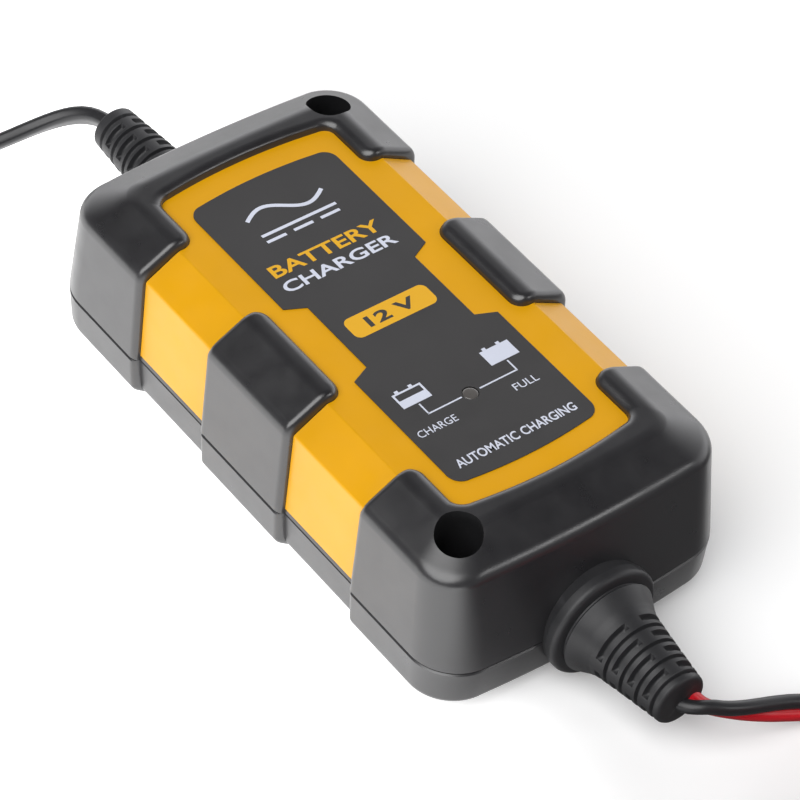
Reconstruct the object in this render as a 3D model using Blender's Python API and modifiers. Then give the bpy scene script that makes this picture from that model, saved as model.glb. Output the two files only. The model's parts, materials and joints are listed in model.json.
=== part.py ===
"""Car battery charger: a closed two-part housing with its electronics, a mains lead and a clamp lead.

Metres, +Z up. The origin is at the bottom centre of the housing, and +X runs from the mains end to the
clamp end.
"""

import math

import bmesh
import bpy
from mathutils import Matrix, Vector

GAP = 0.0003  # between parts that touch on the real object

# Housing: half sizes and heights of the raised outer surface
HALF_LENGTH = 0.0645
HALF_WIDTH = 0.0335
HEIGHT = 0.0376
PARTING_Z = 0.0115
SHOULDER_Z = 0.0332
SHOULDER_HALF_LENGTH = 0.0610
SHOULDER_HALF_WIDTH = 0.0325
CROWN_HALF_LENGTH = 0.0526
CROWN_HALF_WIDTH = 0.0241
CORNER_RADIUS = 0.0100
END_BOW = 0.0010
SOLE_Z = 0.0034  # where the base's side turns into its bottom chamfer
SOLE_HALF_LENGTH = 0.0590
SOLE_HALF_WIDTH = 0.0285

OVERRUN = 0.0060  # how far a shape runs past the plane that trims it
RECESS = 0.0015  # depth of the grips' and bumpers' steps

# The recess that holds the coloured panel, as heights and half widths of the panel's outer surface
PANEL_FLAT_Z = 0.03575
PANEL_SHOULDER_Z = 0.0316
PANEL_FOOT_HALF_WIDTH = 0.0320
PANEL_SHOULDER_HALF_WIDTH = 0.03104
PANEL_FLAT_HALF_WIDTH = 0.0237
PANEL_THICKNESS = 0.0012
PANEL_FOOT_Z = 0.0127
FIELD_HALF_LENGTH = 0.0481
FIELD_HALF_WIDTH = 0.0200
BAY_INNER_X = 0.0129
BAY_OUTER_X = 0.0344
FIELD_CORNER = 0.0028

# Label
LABEL_HALF_LENGTH = 0.04226
LABEL_HALF_WIDTH = 0.0165
WAIST_HALF_WIDTH = 0.0124
WAIST_CORNERS_X = (-0.0109, -0.0089, 0.0095, 0.0113)
LABEL_CORNER = 0.0030
LABEL_TOP_Z = 0.0360
LENS_CENTRE = (0.0252, -0.0005)
LENS_RADIUS = 0.0015

# Fixing wells through two opposite corners, and the screws that hold the housing together
WELL_CENTRES = ((0.0518, -0.0235), (-0.0518, 0.0235))
WELL_RADIUS = 0.0044
WELL_TUBE_RADIUS = 0.0058
FIXING_HOLE_RADIUS = 0.00225
SCREW_CENTRES = ((0.0518, 0.0235), (-0.0518, -0.0235), (0.0, 0.0232), (0.0, -0.0232))
SCREW_HEAD_RADIUS = 0.0028
SCREW_SHANK_RADIUS = 0.0013
SCREW_HOLE_RADIUS = 0.0016
SCREW_HEAD_BOTTOM, SCREW_HEAD_TOP, SCREW_TIP = 0.0012, 0.0031, 0.0190
POST_TOP_Z = 0.0329
POST_OVERRUN = 0.0020  # how far a post runs past the parting plane before the shell is trimmed there

# Board
BOARD_HALF = (0.0460, 0.0182)
BOARD_Z = 0.0080
BOARD_THICKNESS = 0.0016
BOARD_TOP = BOARD_Z + BOARD_THICKNESS
POST_CENTRES = ((0.0420, 0.0150), (-0.0420, -0.0150), (0.0420, -0.0150), (-0.0420, 0.0150))
TRANSFORMER_X = 0.0025
MAINS_CAPACITOR_CENTRE = (-0.0190, -0.0035)
OUTPUT_CAPACITOR_CENTRE = (0.0360, 0.0075)
FILM_CAPACITOR_CENTRE = (-0.0335, 0.0095)
CHOKE_CENTRE = (-0.0330, -0.0032)
FUSE_CENTRE = (-0.0265, -0.0145)
BRIDGE_CENTRE = (-0.0190, 0.0090)
CHIP_CENTRE = (0.0235, 0.0105)
HEATSINK_X = (0.0160, 0.0390)
HEATSINK_FACE_Y = -0.0105
DEVICES = (("power_transistor", 0.0216), ("output_rectifier", 0.0334))
INNER_LEAD_RADIUS = 0.0009

# Leads
AXIS_Z = 0.0122
MAINS_RADIUS = 0.00165
TWIN_RADIUS = 0.00135
COIL_RADIUS = 0.0280
COIL_HALF_BUNDLE = 0.0072
COIL_BOTTOM, COIL_TOP = 0.0011, 0.0122
MAINS_COIL_CENTRE = (-0.1880, 0.0)
CLAMP_COIL_CENTRE = (0.1600, 0.0)
MAINS_ROUTE = (
    (-0.0916, 0.0, 0.0122),
    (-0.0952, -0.0003, 0.0119),
    (-0.0990, -0.0018, 0.0108),
    (-0.1026, -0.0056, 0.0088),
    (-0.1051, -0.0110, 0.0066),
    (-0.1070, -0.0170, 0.0046),
    (-0.1092, -0.0232, 0.0030),
    (-0.1140, -0.0290, 0.0020),
    (-0.1220, -0.0325, 0.0018),
    (-0.1330, -0.0338, 0.0018),
    (-0.1480, -0.0336, 0.0022),
    (-0.1620, -0.0335, 0.0034),
    (-0.1716, -0.0335, 0.0038),
)
PLUG_TAIL_ROUTE = (
    (-0.1718, 0.0335, 0.0094),
    (-0.1670, 0.0335, 0.0098),
    (-0.1600, 0.0326, 0.0108),
    (-0.1520, 0.0280, 0.0126),
    (-0.1475, 0.0205, 0.0149),
    (-0.1465, 0.0130, 0.0167),
    (-0.1490, 0.0060, 0.0181),
    (-0.1550, 0.0014, 0.0191),
    (-0.1620, 0.0001, 0.0196),
    (-0.1667, 0.0, 0.0197),
)
CLAMP_LEAD_ROUTE = (
    (0.0843, 0.0, 0.0122),
    (0.0876, 0.0006, 0.0119),
    (0.0906, 0.0026, 0.0110),
    (0.0930, 0.0064, 0.0096),
    (0.0948, 0.0115, 0.0078),
    (0.0963, 0.0170, 0.0060),
    (0.0978, 0.0222, 0.0044),
    (0.1004, 0.0272, 0.0030),
    (0.1050, 0.0312, 0.0020),
    (0.1120, 0.0334, 0.0016),
    (0.1220, 0.0340, 0.0018),
    (0.1340, 0.0337, 0.0030),
    (0.1436, 0.0335, 0.0036),
)
CLAMP_LEAD_END = ((0.1436, -0.0335, 0.0094), (0.1400, -0.0335, 0.0096), (0.1360, -0.0335, 0.0100))
BLACK_TAIL_ROUTE = (
    (0.1355, -0.0321, 0.0101),
    (0.1325, -0.0315, 0.0106),
    (0.1288, -0.0284, 0.0122),
    (0.1262, -0.0226, 0.0144),
    (0.1256, -0.0160, 0.0162),
    (0.1272, -0.0096, 0.0178),
    (0.1304, -0.0053, 0.0188),
    (0.1334, -0.0038, 0.0192),
    (0.1356, -0.0035, 0.0193),
)
RED_TAIL_ROUTE = (
    (0.1355, -0.0349, 0.0101),
    (0.1312, -0.0348, 0.0104),
    (0.1256, -0.0318, 0.0116),
    (0.1220, -0.0245, 0.0138),
    (0.1212, -0.0152, 0.0158),
    (0.1226, -0.0066, 0.0176),
    (0.1262, -0.0002, 0.0188),
    (0.1308, 0.0030, 0.0193),
    (0.1356, 0.0035, 0.0193),
)

TIE_WIDTH = 0.0080
TIE_THICKNESS = 0.00075

# Strain reliefs, held by a flange in a groove of the end wall
RELIEF_HOLE_RADIUS = 0.0063
RELIEF_NECK_RADIUS = 0.0060
RELIEF_FLANGE_RADIUS = 0.0076
RELIEF_FLANGE_X = (0.0592, 0.0612)
RELIEF_START_X = 0.0649
CLAMP_RELIEF_TIP_X = 0.0890
CLAMP_RELIEF_MOUTH_X = 0.0840
MAINS_RELIEF_TIP_X = 0.0913

# Two-pin plug, lying on the mains coil with its pins towards -X
PLUG_AXIS_Z = 0.0197
PLUG_REAR_X = -0.1670
PLUG_PIN_SPACING = 0.0190
PLUG_PIN_RADIUS = 0.0020
PLUG_PIN_LENGTH = 0.0190

# Clamps lie on their sides: pivots stand upright, and each outer half opens away from the other clamp
CLAMP_PIVOT_X = 0.1745
CLAMP_PIVOT_Y = 0.0165
CLAMP_Z = 0.0193
FIXED_HALF_WIDTH, MOVING_HALF_WIDTH = 0.0056, 0.0045
FIXED_SPREAD, MOVING_SPREAD = 0.0145, 0.0175
SHEET = 0.0008
JAW_LENGTH = 0.0280
HANDLE_START = (0.0100, 0.0090, 0.0056)  # distance behind the pivot, heights of the back and the edge
HANDLE_LENGTH = 0.0360
HANDLE_DEPTH = 0.0033
GRIP_START, GRIP_END = 0.0105, 0.0385
GRIP_WALL = 0.0011
GRIP_HALF_WIDTH = 0.0068
EAR_RADIUS = 0.0044
PIVOT_PIN_RADIUS = 0.0015


def clear_scene():
    for obj in list(bpy.data.objects):
        bpy.data.objects.remove(obj, do_unlink=True)


def new_collection(name, hidden):
    collection = bpy.data.collections.new(name)
    bpy.context.scene.collection.children.link(collection)
    collection.hide_render = hidden
    return collection


clear_scene()
PART = new_collection("battery_charger", False)
CUTTERS = new_collection("cutters", True)


def material(name, colour, roughness, metallic=0.0):
    made = bpy.data.materials.new(name)
    made.use_nodes = True
    shader = made.node_tree.nodes["Principled BSDF"]
    shader.inputs["Base Color"].default_value = (*colour, 1.0)
    shader.inputs["Roughness"].default_value = roughness
    shader.inputs["Metallic"].default_value = metallic
    return made


BLACK = material("black_plastic", (0.028, 0.027, 0.030), 0.42)
YELLOW = material("yellow_plastic", (0.80, 0.42, 0.01), 0.38)
LABEL = material("label_film", (0.055, 0.053, 0.055), 0.5)
LENS = material("clear_lens", (0.30, 0.28, 0.27), 0.2)
RUBBER = material("soft_pvc", (0.030, 0.030, 0.033), 0.5)
RED = material("red_pvc", (0.62, 0.02, 0.03), 0.38)
STEEL = material("zinc_steel", (0.62, 0.62, 0.64), 0.3, 1.0)
BRASS = material("nickel_brass", (0.72, 0.66, 0.52), 0.25, 1.0)
BOARD = material("circuit_board", (0.03, 0.16, 0.06), 0.5)
FERRITE = material("ferrite", (0.04, 0.04, 0.045), 0.7)
TAPE = material("winding_tape", (0.75, 0.55, 0.06), 0.45)
SLEEVE = material("capacitor_sleeve", (0.02, 0.03, 0.09), 0.35)
FILM_BOX = material("film_capacitor", (0.70, 0.62, 0.10), 0.4)
COPPER = material("enamelled_copper", (0.60, 0.25, 0.10), 0.35, 0.8)
EPOXY = material("black_epoxy", (0.02, 0.02, 0.02), 0.4)
ALUMINIUM = material("aluminium", (0.66, 0.67, 0.68), 0.35, 1.0)
GLASS = material("fuse_glass", (0.75, 0.80, 0.80), 0.1)
LED = material("led_epoxy", (0.80, 0.86, 0.70), 0.2)
BROWN = material("brown_pvc", (0.20, 0.08, 0.03), 0.4)
BLUE = material("blue_pvc", (0.03, 0.10, 0.45), 0.4)


def link(name, mesh, slot, helper=False):
    obj = bpy.data.objects.new(name, mesh)
    if helper:
        CUTTERS.objects.link(obj)
        obj.hide_render = True
        obj.display_type = "WIRE"
    else:
        PART.objects.link(obj)
        obj.data.materials.append(slot)
    return obj


def smooth(obj, degrees=35):
    for polygon in obj.data.polygons:
        polygon.use_smooth = True
    obj.data.set_sharp_from_angle(angle=math.radians(degrees))


def from_bmesh(name, made, slot, helper=False):
    bmesh.ops.recalc_face_normals(made, faces=made.faces)
    mesh = bpy.data.meshes.new(name)
    made.to_mesh(mesh)
    made.free()
    return link(name, mesh, slot, helper)


def box(name, low, high, slot=None, helper=False, bevel=0.0):
    made = bmesh.new()
    bmesh.ops.create_cube(made, size=1.0)
    size = Vector(high) - Vector(low)
    bmesh.ops.scale(made, vec=size, verts=made.verts)
    bmesh.ops.translate(made, vec=(Vector(high) + Vector(low)) / 2, verts=made.verts)
    obj = from_bmesh(name, made, slot, helper)
    if bevel:
        edges = obj.modifiers.new("edges", "BEVEL")
        edges.width = bevel
        edges.segments = 2
    return obj


def cylinder(name, centre, radius, low, high, slot=None, helper=False, sides=32, axis="Z"):
    """A cylinder along axis, from low to high on it. centre is the other two coordinates, in order."""
    made = bmesh.new()
    bmesh.ops.create_cone(
        made, cap_ends=True, segments=sides, radius1=radius, radius2=radius, depth=high - low
    )
    middle = (low + high) / 2
    if axis == "X":
        bmesh.ops.rotate(made, matrix=Matrix.Rotation(math.pi / 2, 3, "Y"), verts=made.verts)
        place = (middle, *centre)
    elif axis == "Y":
        bmesh.ops.rotate(made, matrix=Matrix.Rotation(math.pi / 2, 3, "X"), verts=made.verts)
        place = (centre[0], middle, centre[1])
    else:
        place = (*centre, middle)
    bmesh.ops.translate(made, vec=place, verts=made.verts)
    return from_bmesh(name, made, slot, helper)


def turned(name, profile, slot, location=(0, 0, 0), along="Z", steps=32):
    """A profile of (radius, height) points, from the top down its outer side, turned about an axis."""
    mesh = bpy.data.meshes.new(name)
    points = [(radius, 0.0, height) for radius, height in profile]
    closed = profile[0][0] > 0
    edges = [(i, i + 1) for i in range(len(points) - 1)] + ([(len(points) - 1, 0)] if closed else [])
    mesh.from_pydata(points, edges, [])
    obj = link(name, mesh, slot)
    screw = obj.modifiers.new("turn", "SCREW")
    screw.axis = "Z"
    screw.steps = screw.render_steps = steps
    screw.use_merge_vertices = True
    screw.merge_threshold = 0.00001
    obj.location = location
    if along == "+X":
        obj.rotation_euler = (0.0, math.pi / 2, 0.0)
    elif along == "-X":
        obj.rotation_euler = (0.0, -math.pi / 2, 0.0)
    return obj


def outline(half_x, half_y, radius, bow=0.0, steps=5):
    """A rectangle with round corners and ends that bow outwards, anticlockwise from the +X, -Y corner."""
    points = []
    for quarter, (sx, sy) in enumerate(((1, -1), (1, 1), (-1, 1), (-1, -1))):
        start = (quarter - 1) * math.pi / 2
        cx, cy = sx * (half_x - bow - radius), sy * (half_y - radius)
        for k in range(steps + 1):
            angle = start + k * math.pi / 2 / steps
            points.append((cx + radius * math.cos(angle), cy + radius * math.sin(angle)))
        if quarter in (0, 2):
            for k in (1, 2, 3):
                share = k / 4
                y = cy + (-2 * cy) * share
                points.append((sx * (half_x - bow + bow * (1 - (2 * share - 1) ** 2)), y))
    return points


def loft(name, sections, slot=None, helper=False):
    """A solid through sections (z, half_x, half_y, corner radius, bow), from the bottom to the top."""
    made = bmesh.new()
    rings = [
        [made.verts.new((x, y, z)) for x, y in outline(half_x, half_y, radius, bow)]
        for z, half_x, half_y, radius, bow in sections
    ]
    count = len(rings[0])
    for lower, upper in zip(rings, rings[1:], strict=False):
        for i in range(count):
            j = (i + 1) % count
            made.faces.new((lower[i], lower[j], upper[j], upper[i]))
    made.faces.new(list(reversed(rings[0])))
    made.faces.new(rings[-1])
    return from_bmesh(name, made, slot, helper)


def prism(name, points, low, high, slot=None, helper=False):
    made = bmesh.new()
    lower = [made.verts.new((x, y, low)) for x, y in points]
    face = made.faces.new(lower)
    raised = bmesh.ops.extrude_face_region(made, geom=[face])["geom"]
    moved = [v for v in raised if isinstance(v, bmesh.types.BMVert)]
    bmesh.ops.translate(made, vec=(0, 0, high - low), verts=moved)
    return from_bmesh(name, made, slot, helper)


def boolean(obj, cutter, operation="DIFFERENCE"):
    step = obj.modifiers.new(f"{operation.lower()}_{cutter.name}", "BOOLEAN")
    step.operation = operation
    step.object = cutter
    step.solver = "EXACT"


def rounded(points, radii, steps=5):
    """The corners of a closed outline turned into arcs; a radius of 0 keeps the corner."""
    made = []
    count = len(points)
    for i, (corner, radius) in enumerate(zip(points, radii, strict=True)):
        here = Vector(corner)
        before = (Vector(points[i - 1]) - here).normalized()
        after = (Vector(points[(i + 1) % count]) - here).normalized()
        if radius == 0:
            made.append(tuple(here))
            continue
        half = before.angle(after) / 2
        reach = radius / math.tan(half)
        centre = here + (before + after).normalized() * (radius / math.sin(half))
        start, end = here + before * reach - centre, here + after * reach - centre
        turn = start.angle_signed(end)
        for k in range(steps + 1):
            spoke = start.copy()
            spoke.rotate(Matrix.Rotation(-turn * k / steps, 2))
            made.append(tuple(centre + spoke))
    return made


def smooth_route(points, spacing):
    """Points about spacing apart on a smooth curve through the route's own points."""
    route = [Vector(p) for p in points]
    route = [2 * route[0] - route[1], *route, 2 * route[-1] - route[-2]]
    made = []
    for a, b, c, d in zip(route, route[1:], route[2:], route[3:], strict=False):
        pieces = max(1, round((c - b).length / spacing))
        for k in range(pieces):
            t = k / pieces
            curve = 2 * a - 5 * b + 4 * c - d
            twist = 3 * b - a - 3 * c + d
            made.append(0.5 * (2 * b + (c - a) * t + curve * t**2 + twist * t**3))
    return [*made, route[-2]]


def tube(name, points, radius, slot, resolution=2):
    curve = bpy.data.curves.new(name, "CURVE")
    curve.dimensions = "3D"
    curve.bevel_depth = radius
    curve.bevel_resolution = resolution
    curve.use_fill_caps = True
    spline = curve.splines.new("POLY")
    spline.points.add(len(points) - 1)
    for point, place in zip(spline.points, points, strict=True):
        point.co = (*place, 1.0)
    obj = bpy.data.objects.new(name, curve)
    curve.materials.append(slot)
    PART.objects.link(obj)
    return obj


# ---------------------------------------------------------------- housing


def upper_surface():
    """The raised upper surface, as sections from below the parting plane to the crown."""
    foot = (HALF_LENGTH, HALF_WIDTH, CORNER_RADIUS, END_BOW)
    length, width = SHOULDER_HALF_LENGTH, SHOULDER_HALF_WIDTH
    return [
        (PARTING_Z - OVERRUN, *foot),
        (PARTING_Z, *foot),
        (SHOULDER_Z - 0.0018, length + 0.0001, width, 0.0092, 0.0008),
        (SHOULDER_Z - 0.0004, length - 0.0008, width - 0.0008, 0.0088, 0.0008),
        (SHOULDER_Z + 0.0006, length - 0.0024, width - 0.0024, 0.0080, 0.0007),
        (HEIGHT - 0.0004, CROWN_HALF_LENGTH + 0.0006, CROWN_HALF_WIDTH + 0.0006, 0.0046, 0.0004),
        (HEIGHT, CROWN_HALF_LENGTH - 0.0010, CROWN_HALF_WIDTH - 0.0010, 0.0040, 0.0004),
    ]


def panel_surface(inset):
    """The panel's outer surface, moved in by inset."""
    ends = RECESS + inset
    foot = (HALF_LENGTH - ends, PANEL_FOOT_HALF_WIDTH - inset, 0.0085, END_BOW)
    length, width = SHOULDER_HALF_LENGTH - ends, PANEL_SHOULDER_HALF_WIDTH - inset
    shoulder = PANEL_SHOULDER_Z - inset / 2
    return [
        (PARTING_Z - OVERRUN, *foot),
        (PARTING_Z, *foot),
        (shoulder - 0.0006, length, width, 0.0075, 0.0008),
        (shoulder + 0.0003, length - 0.0006, width - 0.0007, 0.0070, 0.0008),
        (PANEL_FLAT_Z - inset, CROWN_HALF_LENGTH, PANEL_FLAT_HALF_WIDTH - inset / 2, 0.0040, 0.0005),
    ]


def field_outline(shrink):
    """The panel's plan: a field between the bumpers, with two bays on each side between the grips."""
    x1, x2, x3 = BAY_INNER_X + shrink, BAY_OUTER_X - shrink, FIELD_HALF_LENGTH - shrink
    y1, y2 = FIELD_HALF_WIDTH - shrink, 0.0400
    inner, outer = FIELD_CORNER + shrink, FIELD_CORNER - shrink
    side = [(x3, y1), (x2, y1), (x2, y2), (x1, y2), (x1, y1)]
    half = side + [(-x, y) for x, y in reversed(side)]
    corners = half + [(-x, -y) for x, y in half]
    radii = [outer, inner, 0, 0, inner, inner, 0, 0, inner, outer]
    return rounded(corners, radii * 2)


def base_surface(side_inset, foot=0.0):
    """The base's outer surface with its sides moved in, reaching down to foot."""
    side_y = HALF_WIDTH - side_inset
    chamfer = HALF_WIDTH - SOLE_HALF_WIDTH
    below = [(foot, SOLE_HALF_LENGTH, side_y - chamfer, 0.0060, 0.0005)] if foot else []
    return [
        *below,
        (0.0, SOLE_HALF_LENGTH, side_y - chamfer, 0.0060, 0.0005),
        (0.0005, SOLE_HALF_LENGTH + 0.0012, side_y - chamfer + 0.0012, 0.0065, 0.0006),
        (SOLE_Z - 0.0012, HALF_LENGTH - 0.0026, side_y - 0.0024, 0.0088, 0.0009),
        (SOLE_Z, HALF_LENGTH - 0.0013, side_y - 0.0010, 0.0094, END_BOW),
        (SOLE_Z + 0.0016, HALF_LENGTH - 0.0006, side_y - 0.0004, 0.0098, END_BOW),
        (PARTING_Z, HALF_LENGTH, side_y, CORNER_RADIUS, END_BOW),
        (PARTING_Z + 0.006, HALF_LENGTH, side_y, CORNER_RADIUS, END_BOW),
    ]


def window_cutter(piece, radius):
    return cylinder(f"cut_{piece}_window", LENS_CENTRE, radius, 0.025, 0.05, helper=True, sides=20)


def cut_relief_seats(shell, half):
    """Holes through both end walls on the leads' axis, and a groove inside each for its relief's flange."""
    axis = (0.0, AXIS_Z)
    reach = HALF_LENGTH + 0.01
    name = f"cut_relief_holes_{half}"
    boolean(shell, cylinder(name, axis, RELIEF_HOLE_RADIUS, -reach, reach, helper=True, axis="X"))
    near, far = RELIEF_FLANGE_X[0] - GAP, RELIEF_FLANGE_X[1] + GAP
    radius = RELIEF_FLANGE_RADIUS + GAP
    for end, low, high in (("clamp", near, far), ("mains", -far, -near)):
        name = f"cut_{end}_groove_{half}"
        boolean(shell, cylinder(name, axis, radius, low, high, helper=True, axis="X"))


def make_top_shell():
    shell = loft("top_shell", upper_surface(), BLACK)
    below = box("cut_below_parting", (-0.1, -0.06, -0.01), (0.1, 0.06, PARTING_Z + GAP / 2), helper=True)
    pocket = prism("cut_panel_pocket", field_outline(0.0), PANEL_FOOT_Z - GAP, 0.06, helper=True)
    boolean(pocket, loft("core_behind_panel", panel_surface(PANEL_THICKNESS + GAP), helper=True))
    lip = prism("cut_lip_level", field_outline(0.0), 0.0, PANEL_FOOT_Z, helper=True)
    boolean(lip, loft("core_at_lip", panel_surface(0.0), helper=True))
    cavity = loft(
        "cut_upper_cavity",
        [
            (0.005, 0.0615, 0.0284, 0.0055, 0.0008),
            (PARTING_Z, 0.0615, 0.0284, 0.0055, 0.0008),
            (0.0298, 0.0583, 0.0274, 0.0050, 0.0006),
            (0.0320, 0.0480, 0.0220, 0.0030, 0.0),
        ],
        helper=True,
    )
    for cutter in (pocket, lip, cavity):
        boolean(shell, cutter)
    foot = PARTING_Z - POST_OVERRUN
    for i, centre in enumerate(WELL_CENTRES, 1):
        tube_wall = cylinder(f"well_tube_{i}", centre, WELL_TUBE_RADIUS, foot, POST_TOP_Z, helper=True)
        boolean(shell, tube_wall, "UNION")
    for i, centre in enumerate(SCREW_CENTRES, 1):
        name = f"upper_screw_post_{i}"
        boolean(shell, cylinder(name, centre, 0.0032, foot, POST_TOP_Z, helper=True, sides=20), "UNION")
    boolean(shell, below)
    for i, centre in enumerate(WELL_CENTRES, 1):
        boolean(shell, cylinder(f"cut_well_{i}", centre, WELL_RADIUS, 0.005, 0.05, helper=True))
    for i, centre in enumerate(SCREW_CENTRES, 1):
        name = f"cut_upper_thread_{i}"
        boolean(shell, cylinder(name, centre, SCREW_HOLE_RADIUS, 0.005, 0.022, helper=True, sides=16))
    boolean(shell, window_cutter("shell", LENS_RADIUS + 2 * GAP))
    cut_relief_seats(shell, "upper")
    smooth(shell)


def make_base_shell():
    shell = loft("base_shell", base_surface(0.0), BLACK)
    above = box("cut_above_parting", (-0.1, -0.06, PARTING_Z - GAP / 2), (0.1, 0.06, 0.05), helper=True)
    cavity = loft(
        "cut_lower_cavity",
        [
            (0.0022, 0.0520, 0.0215, 0.0040, 0.0),
            (0.0060, 0.0600, 0.0278, 0.0050, 0.0006),
            (PARTING_Z, 0.0615, 0.0284, 0.0055, 0.0008),
            (0.02, 0.0615, 0.0284, 0.0055, 0.0008),
        ],
        helper=True,
    )
    bays = prism("cut_base_bays", field_outline(0.0), -0.01, 0.03, helper=True)
    boolean(bays, loft("base_core", base_surface(0.0015, -0.02), helper=True))
    for cutter in (bays, cavity):
        boolean(shell, cutter)
    foot, top = 0.0010, PARTING_Z + POST_OVERRUN
    for i, centre in enumerate(WELL_CENTRES, 1):
        post = cylinder(f"fixing_post_{i}", centre, WELL_TUBE_RADIUS, foot, top, helper=True)
        boolean(shell, post, "UNION")
    for i, centre in enumerate(SCREW_CENTRES, 1):
        post = cylinder(f"lower_screw_post_{i}", centre, 0.0045, foot, top, helper=True, sides=24)
        boolean(shell, post, "UNION")
    for i, centre in enumerate(POST_CENTRES, 1):
        post = cylinder(f"board_post_{i}", centre, 0.0026, foot, BOARD_Z - GAP, helper=True, sides=16)
        boolean(shell, post, "UNION")
    boolean(shell, above)
    holes = [("fixing", centre, FIXING_HOLE_RADIUS, -0.01, 24) for centre in WELL_CENTRES]
    holes += [("screw", centre, SCREW_HOLE_RADIUS, -0.01, 16) for centre in SCREW_CENTRES]
    holes += [("board_thread", centre, 0.0013, 0.0030, 12) for centre in POST_CENTRES]
    for i, (use, centre, radius, low, sides) in enumerate(holes, 1):
        boolean(shell, cylinder(f"cut_{use}_{i}", centre, radius, low, 0.03, helper=True, sides=sides))
    for i, centre in enumerate(SCREW_CENTRES, 1):
        seat = cylinder(f"cut_head_{i}", centre, 0.0032, -0.01, SCREW_HEAD_TOP + GAP, helper=True, sides=20)
        boolean(shell, seat)
    cut_relief_seats(shell, "lower")
    smooth(shell)


def make_face_panel():
    panel = prism("face_panel", field_outline(GAP), PANEL_FOOT_Z, 0.06, YELLOW)
    boolean(panel, loft("panel_outside", panel_surface(0.0), helper=True), "INTERSECT")
    boolean(panel, loft("panel_inside", panel_surface(PANEL_THICKNESS), helper=True))
    boolean(panel, window_cutter("panel", LENS_RADIUS + 2 * GAP))
    smooth(panel)


def label_outline():
    a1, a2, a3, a4 = WAIST_CORNERS_X
    side = [(a1, LABEL_HALF_WIDTH), (a2, WAIST_HALF_WIDTH), (a3, WAIST_HALF_WIDTH), (a4, LABEL_HALF_WIDTH)]
    end = LABEL_HALF_LENGTH
    corners = [(-end, LABEL_HALF_WIDTH), *side, (end, LABEL_HALF_WIDTH), (end, -LABEL_HALF_WIDTH)]
    corners += [(x, -y) for x, y in reversed(side)] + [(-end, -LABEL_HALF_WIDTH)]
    radii = [LABEL_CORNER, 0, 0, 0, 0, LABEL_CORNER, LABEL_CORNER, 0, 0, 0, 0, LABEL_CORNER]
    return rounded(corners, radii)


def make_label():
    bottom = PANEL_FLAT_Z + 0.0001
    label = prism("face_label", label_outline(), bottom, LABEL_TOP_Z, LABEL)
    boolean(label, window_cutter("label", LENS_RADIUS + GAP))


def make_indicator_lens():
    """A light guide from the lamp on the board to the window in the label."""
    profile = [
        (0.0, LABEL_TOP_Z - 0.0001),
        (LENS_RADIUS, LABEL_TOP_Z - 0.0001),
        (LENS_RADIUS, 0.0170),
        (0.0, 0.0170),
    ]
    turned("indicator_lens", profile, LENS, (*LENS_CENTRE, 0.0), steps=20)


def make_screw(name, centre, head, tip, head_radius, shank_radius):
    """A screw along Z. head is the height of the head's outer face, then of its inner one."""
    outer, inner = head
    profile = [
        (0.0, outer),
        (head_radius, outer),
        (head_radius, inner),
        (shank_radius, inner),
        (shank_radius, tip),
        (0.0, tip),
    ]
    if tip > inner:
        profile.reverse()
    return turned(name, profile, STEEL, (*centre, 0.0), steps=20)


def make_housing_screws():
    head = (SCREW_HEAD_BOTTOM, SCREW_HEAD_TOP)
    for i, centre in enumerate(SCREW_CENTRES, 1):
        make_screw(f"housing_screw_{i}", centre, head, SCREW_TIP, SCREW_HEAD_RADIUS, SCREW_SHANK_RADIUS)


# ---------------------------------------------------------------- electronics


def on_board(name, centre, half, height, slot, bevel=0.0):
    """A block that stands on the board."""
    low = (centre[0] - half[0], centre[1] - half[1], BOARD_TOP + GAP)
    high = (centre[0] + half[0], centre[1] + half[1], BOARD_TOP + GAP + height)
    return box(name, low, high, slot, bevel=bevel)


def make_board():
    low = (-BOARD_HALF[0], -BOARD_HALF[1], BOARD_Z)
    board = box("main_board", low, (*BOARD_HALF, BOARD_TOP), BOARD)
    head = BOARD_TOP + GAP
    for number, centre in enumerate(POST_CENTRES[:2], 1):
        name = f"cut_board_hole_{number}"
        boolean(board, cylinder(name, centre, 0.0016, 0.0, 0.02, helper=True, sides=16))
        make_screw(f"board_screw_{number}", centre, (head + 0.0018, head), 0.0042, 0.0026, 0.0010)


def make_transformer():
    """An E-core with its legs upright, and the winding round the middle leg."""
    half_x, half_y, height = 0.0125, 0.0042, 0.0176
    leg, yoke, window = 0.0035, 0.0038, 0.0055
    x, low = TRANSFORMER_X, BOARD_TOP + GAP
    core = box("transformer_core", (x - half_x, -half_y, low), (x + half_x, half_y, low + height), FERRITE)
    for number, side in enumerate((-1, 1), 1):
        inner, outer = x + side * leg, x + side * (leg + window)
        opening = box(
            f"cut_core_window_{number}",
            (min(inner, outer), -0.02, low + yoke),
            (max(inner, outer), 0.02, low + height - yoke),
            helper=True,
        )
        boolean(core, opening)
    bottom, top = low + yoke + GAP, low + height - yoke - GAP
    outer = outline(leg + window - GAP, half_y + window - GAP, 0.0030)
    winding = prism("transformer_winding", outer, bottom, top, TAPE)
    inner = outline(leg + GAP, half_y + GAP, 0.0002)
    middle = prism("cut_winding_middle", inner, 0.0, 0.05, helper=True)
    winding.location.x = middle.location.x = x
    boolean(winding, middle)
    smooth(winding)


def make_capacitor(name, centre, radius, height):
    """A can with a rolled groove near its foot."""
    foot = BOARD_TOP + GAP
    groove = radius - 0.0004
    profile = [
        (0.0, foot + height),
        (radius - 0.0005, foot + height),
        (radius, foot + height - 0.0005),
        (radius, foot + 0.0026),
        (groove, foot + 0.0021),
        (radius, foot + 0.0016),
        (radius, foot),
        (0.0, foot),
    ]
    turned(name, profile, SLEEVE, (*centre, 0.0), steps=20)


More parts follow.
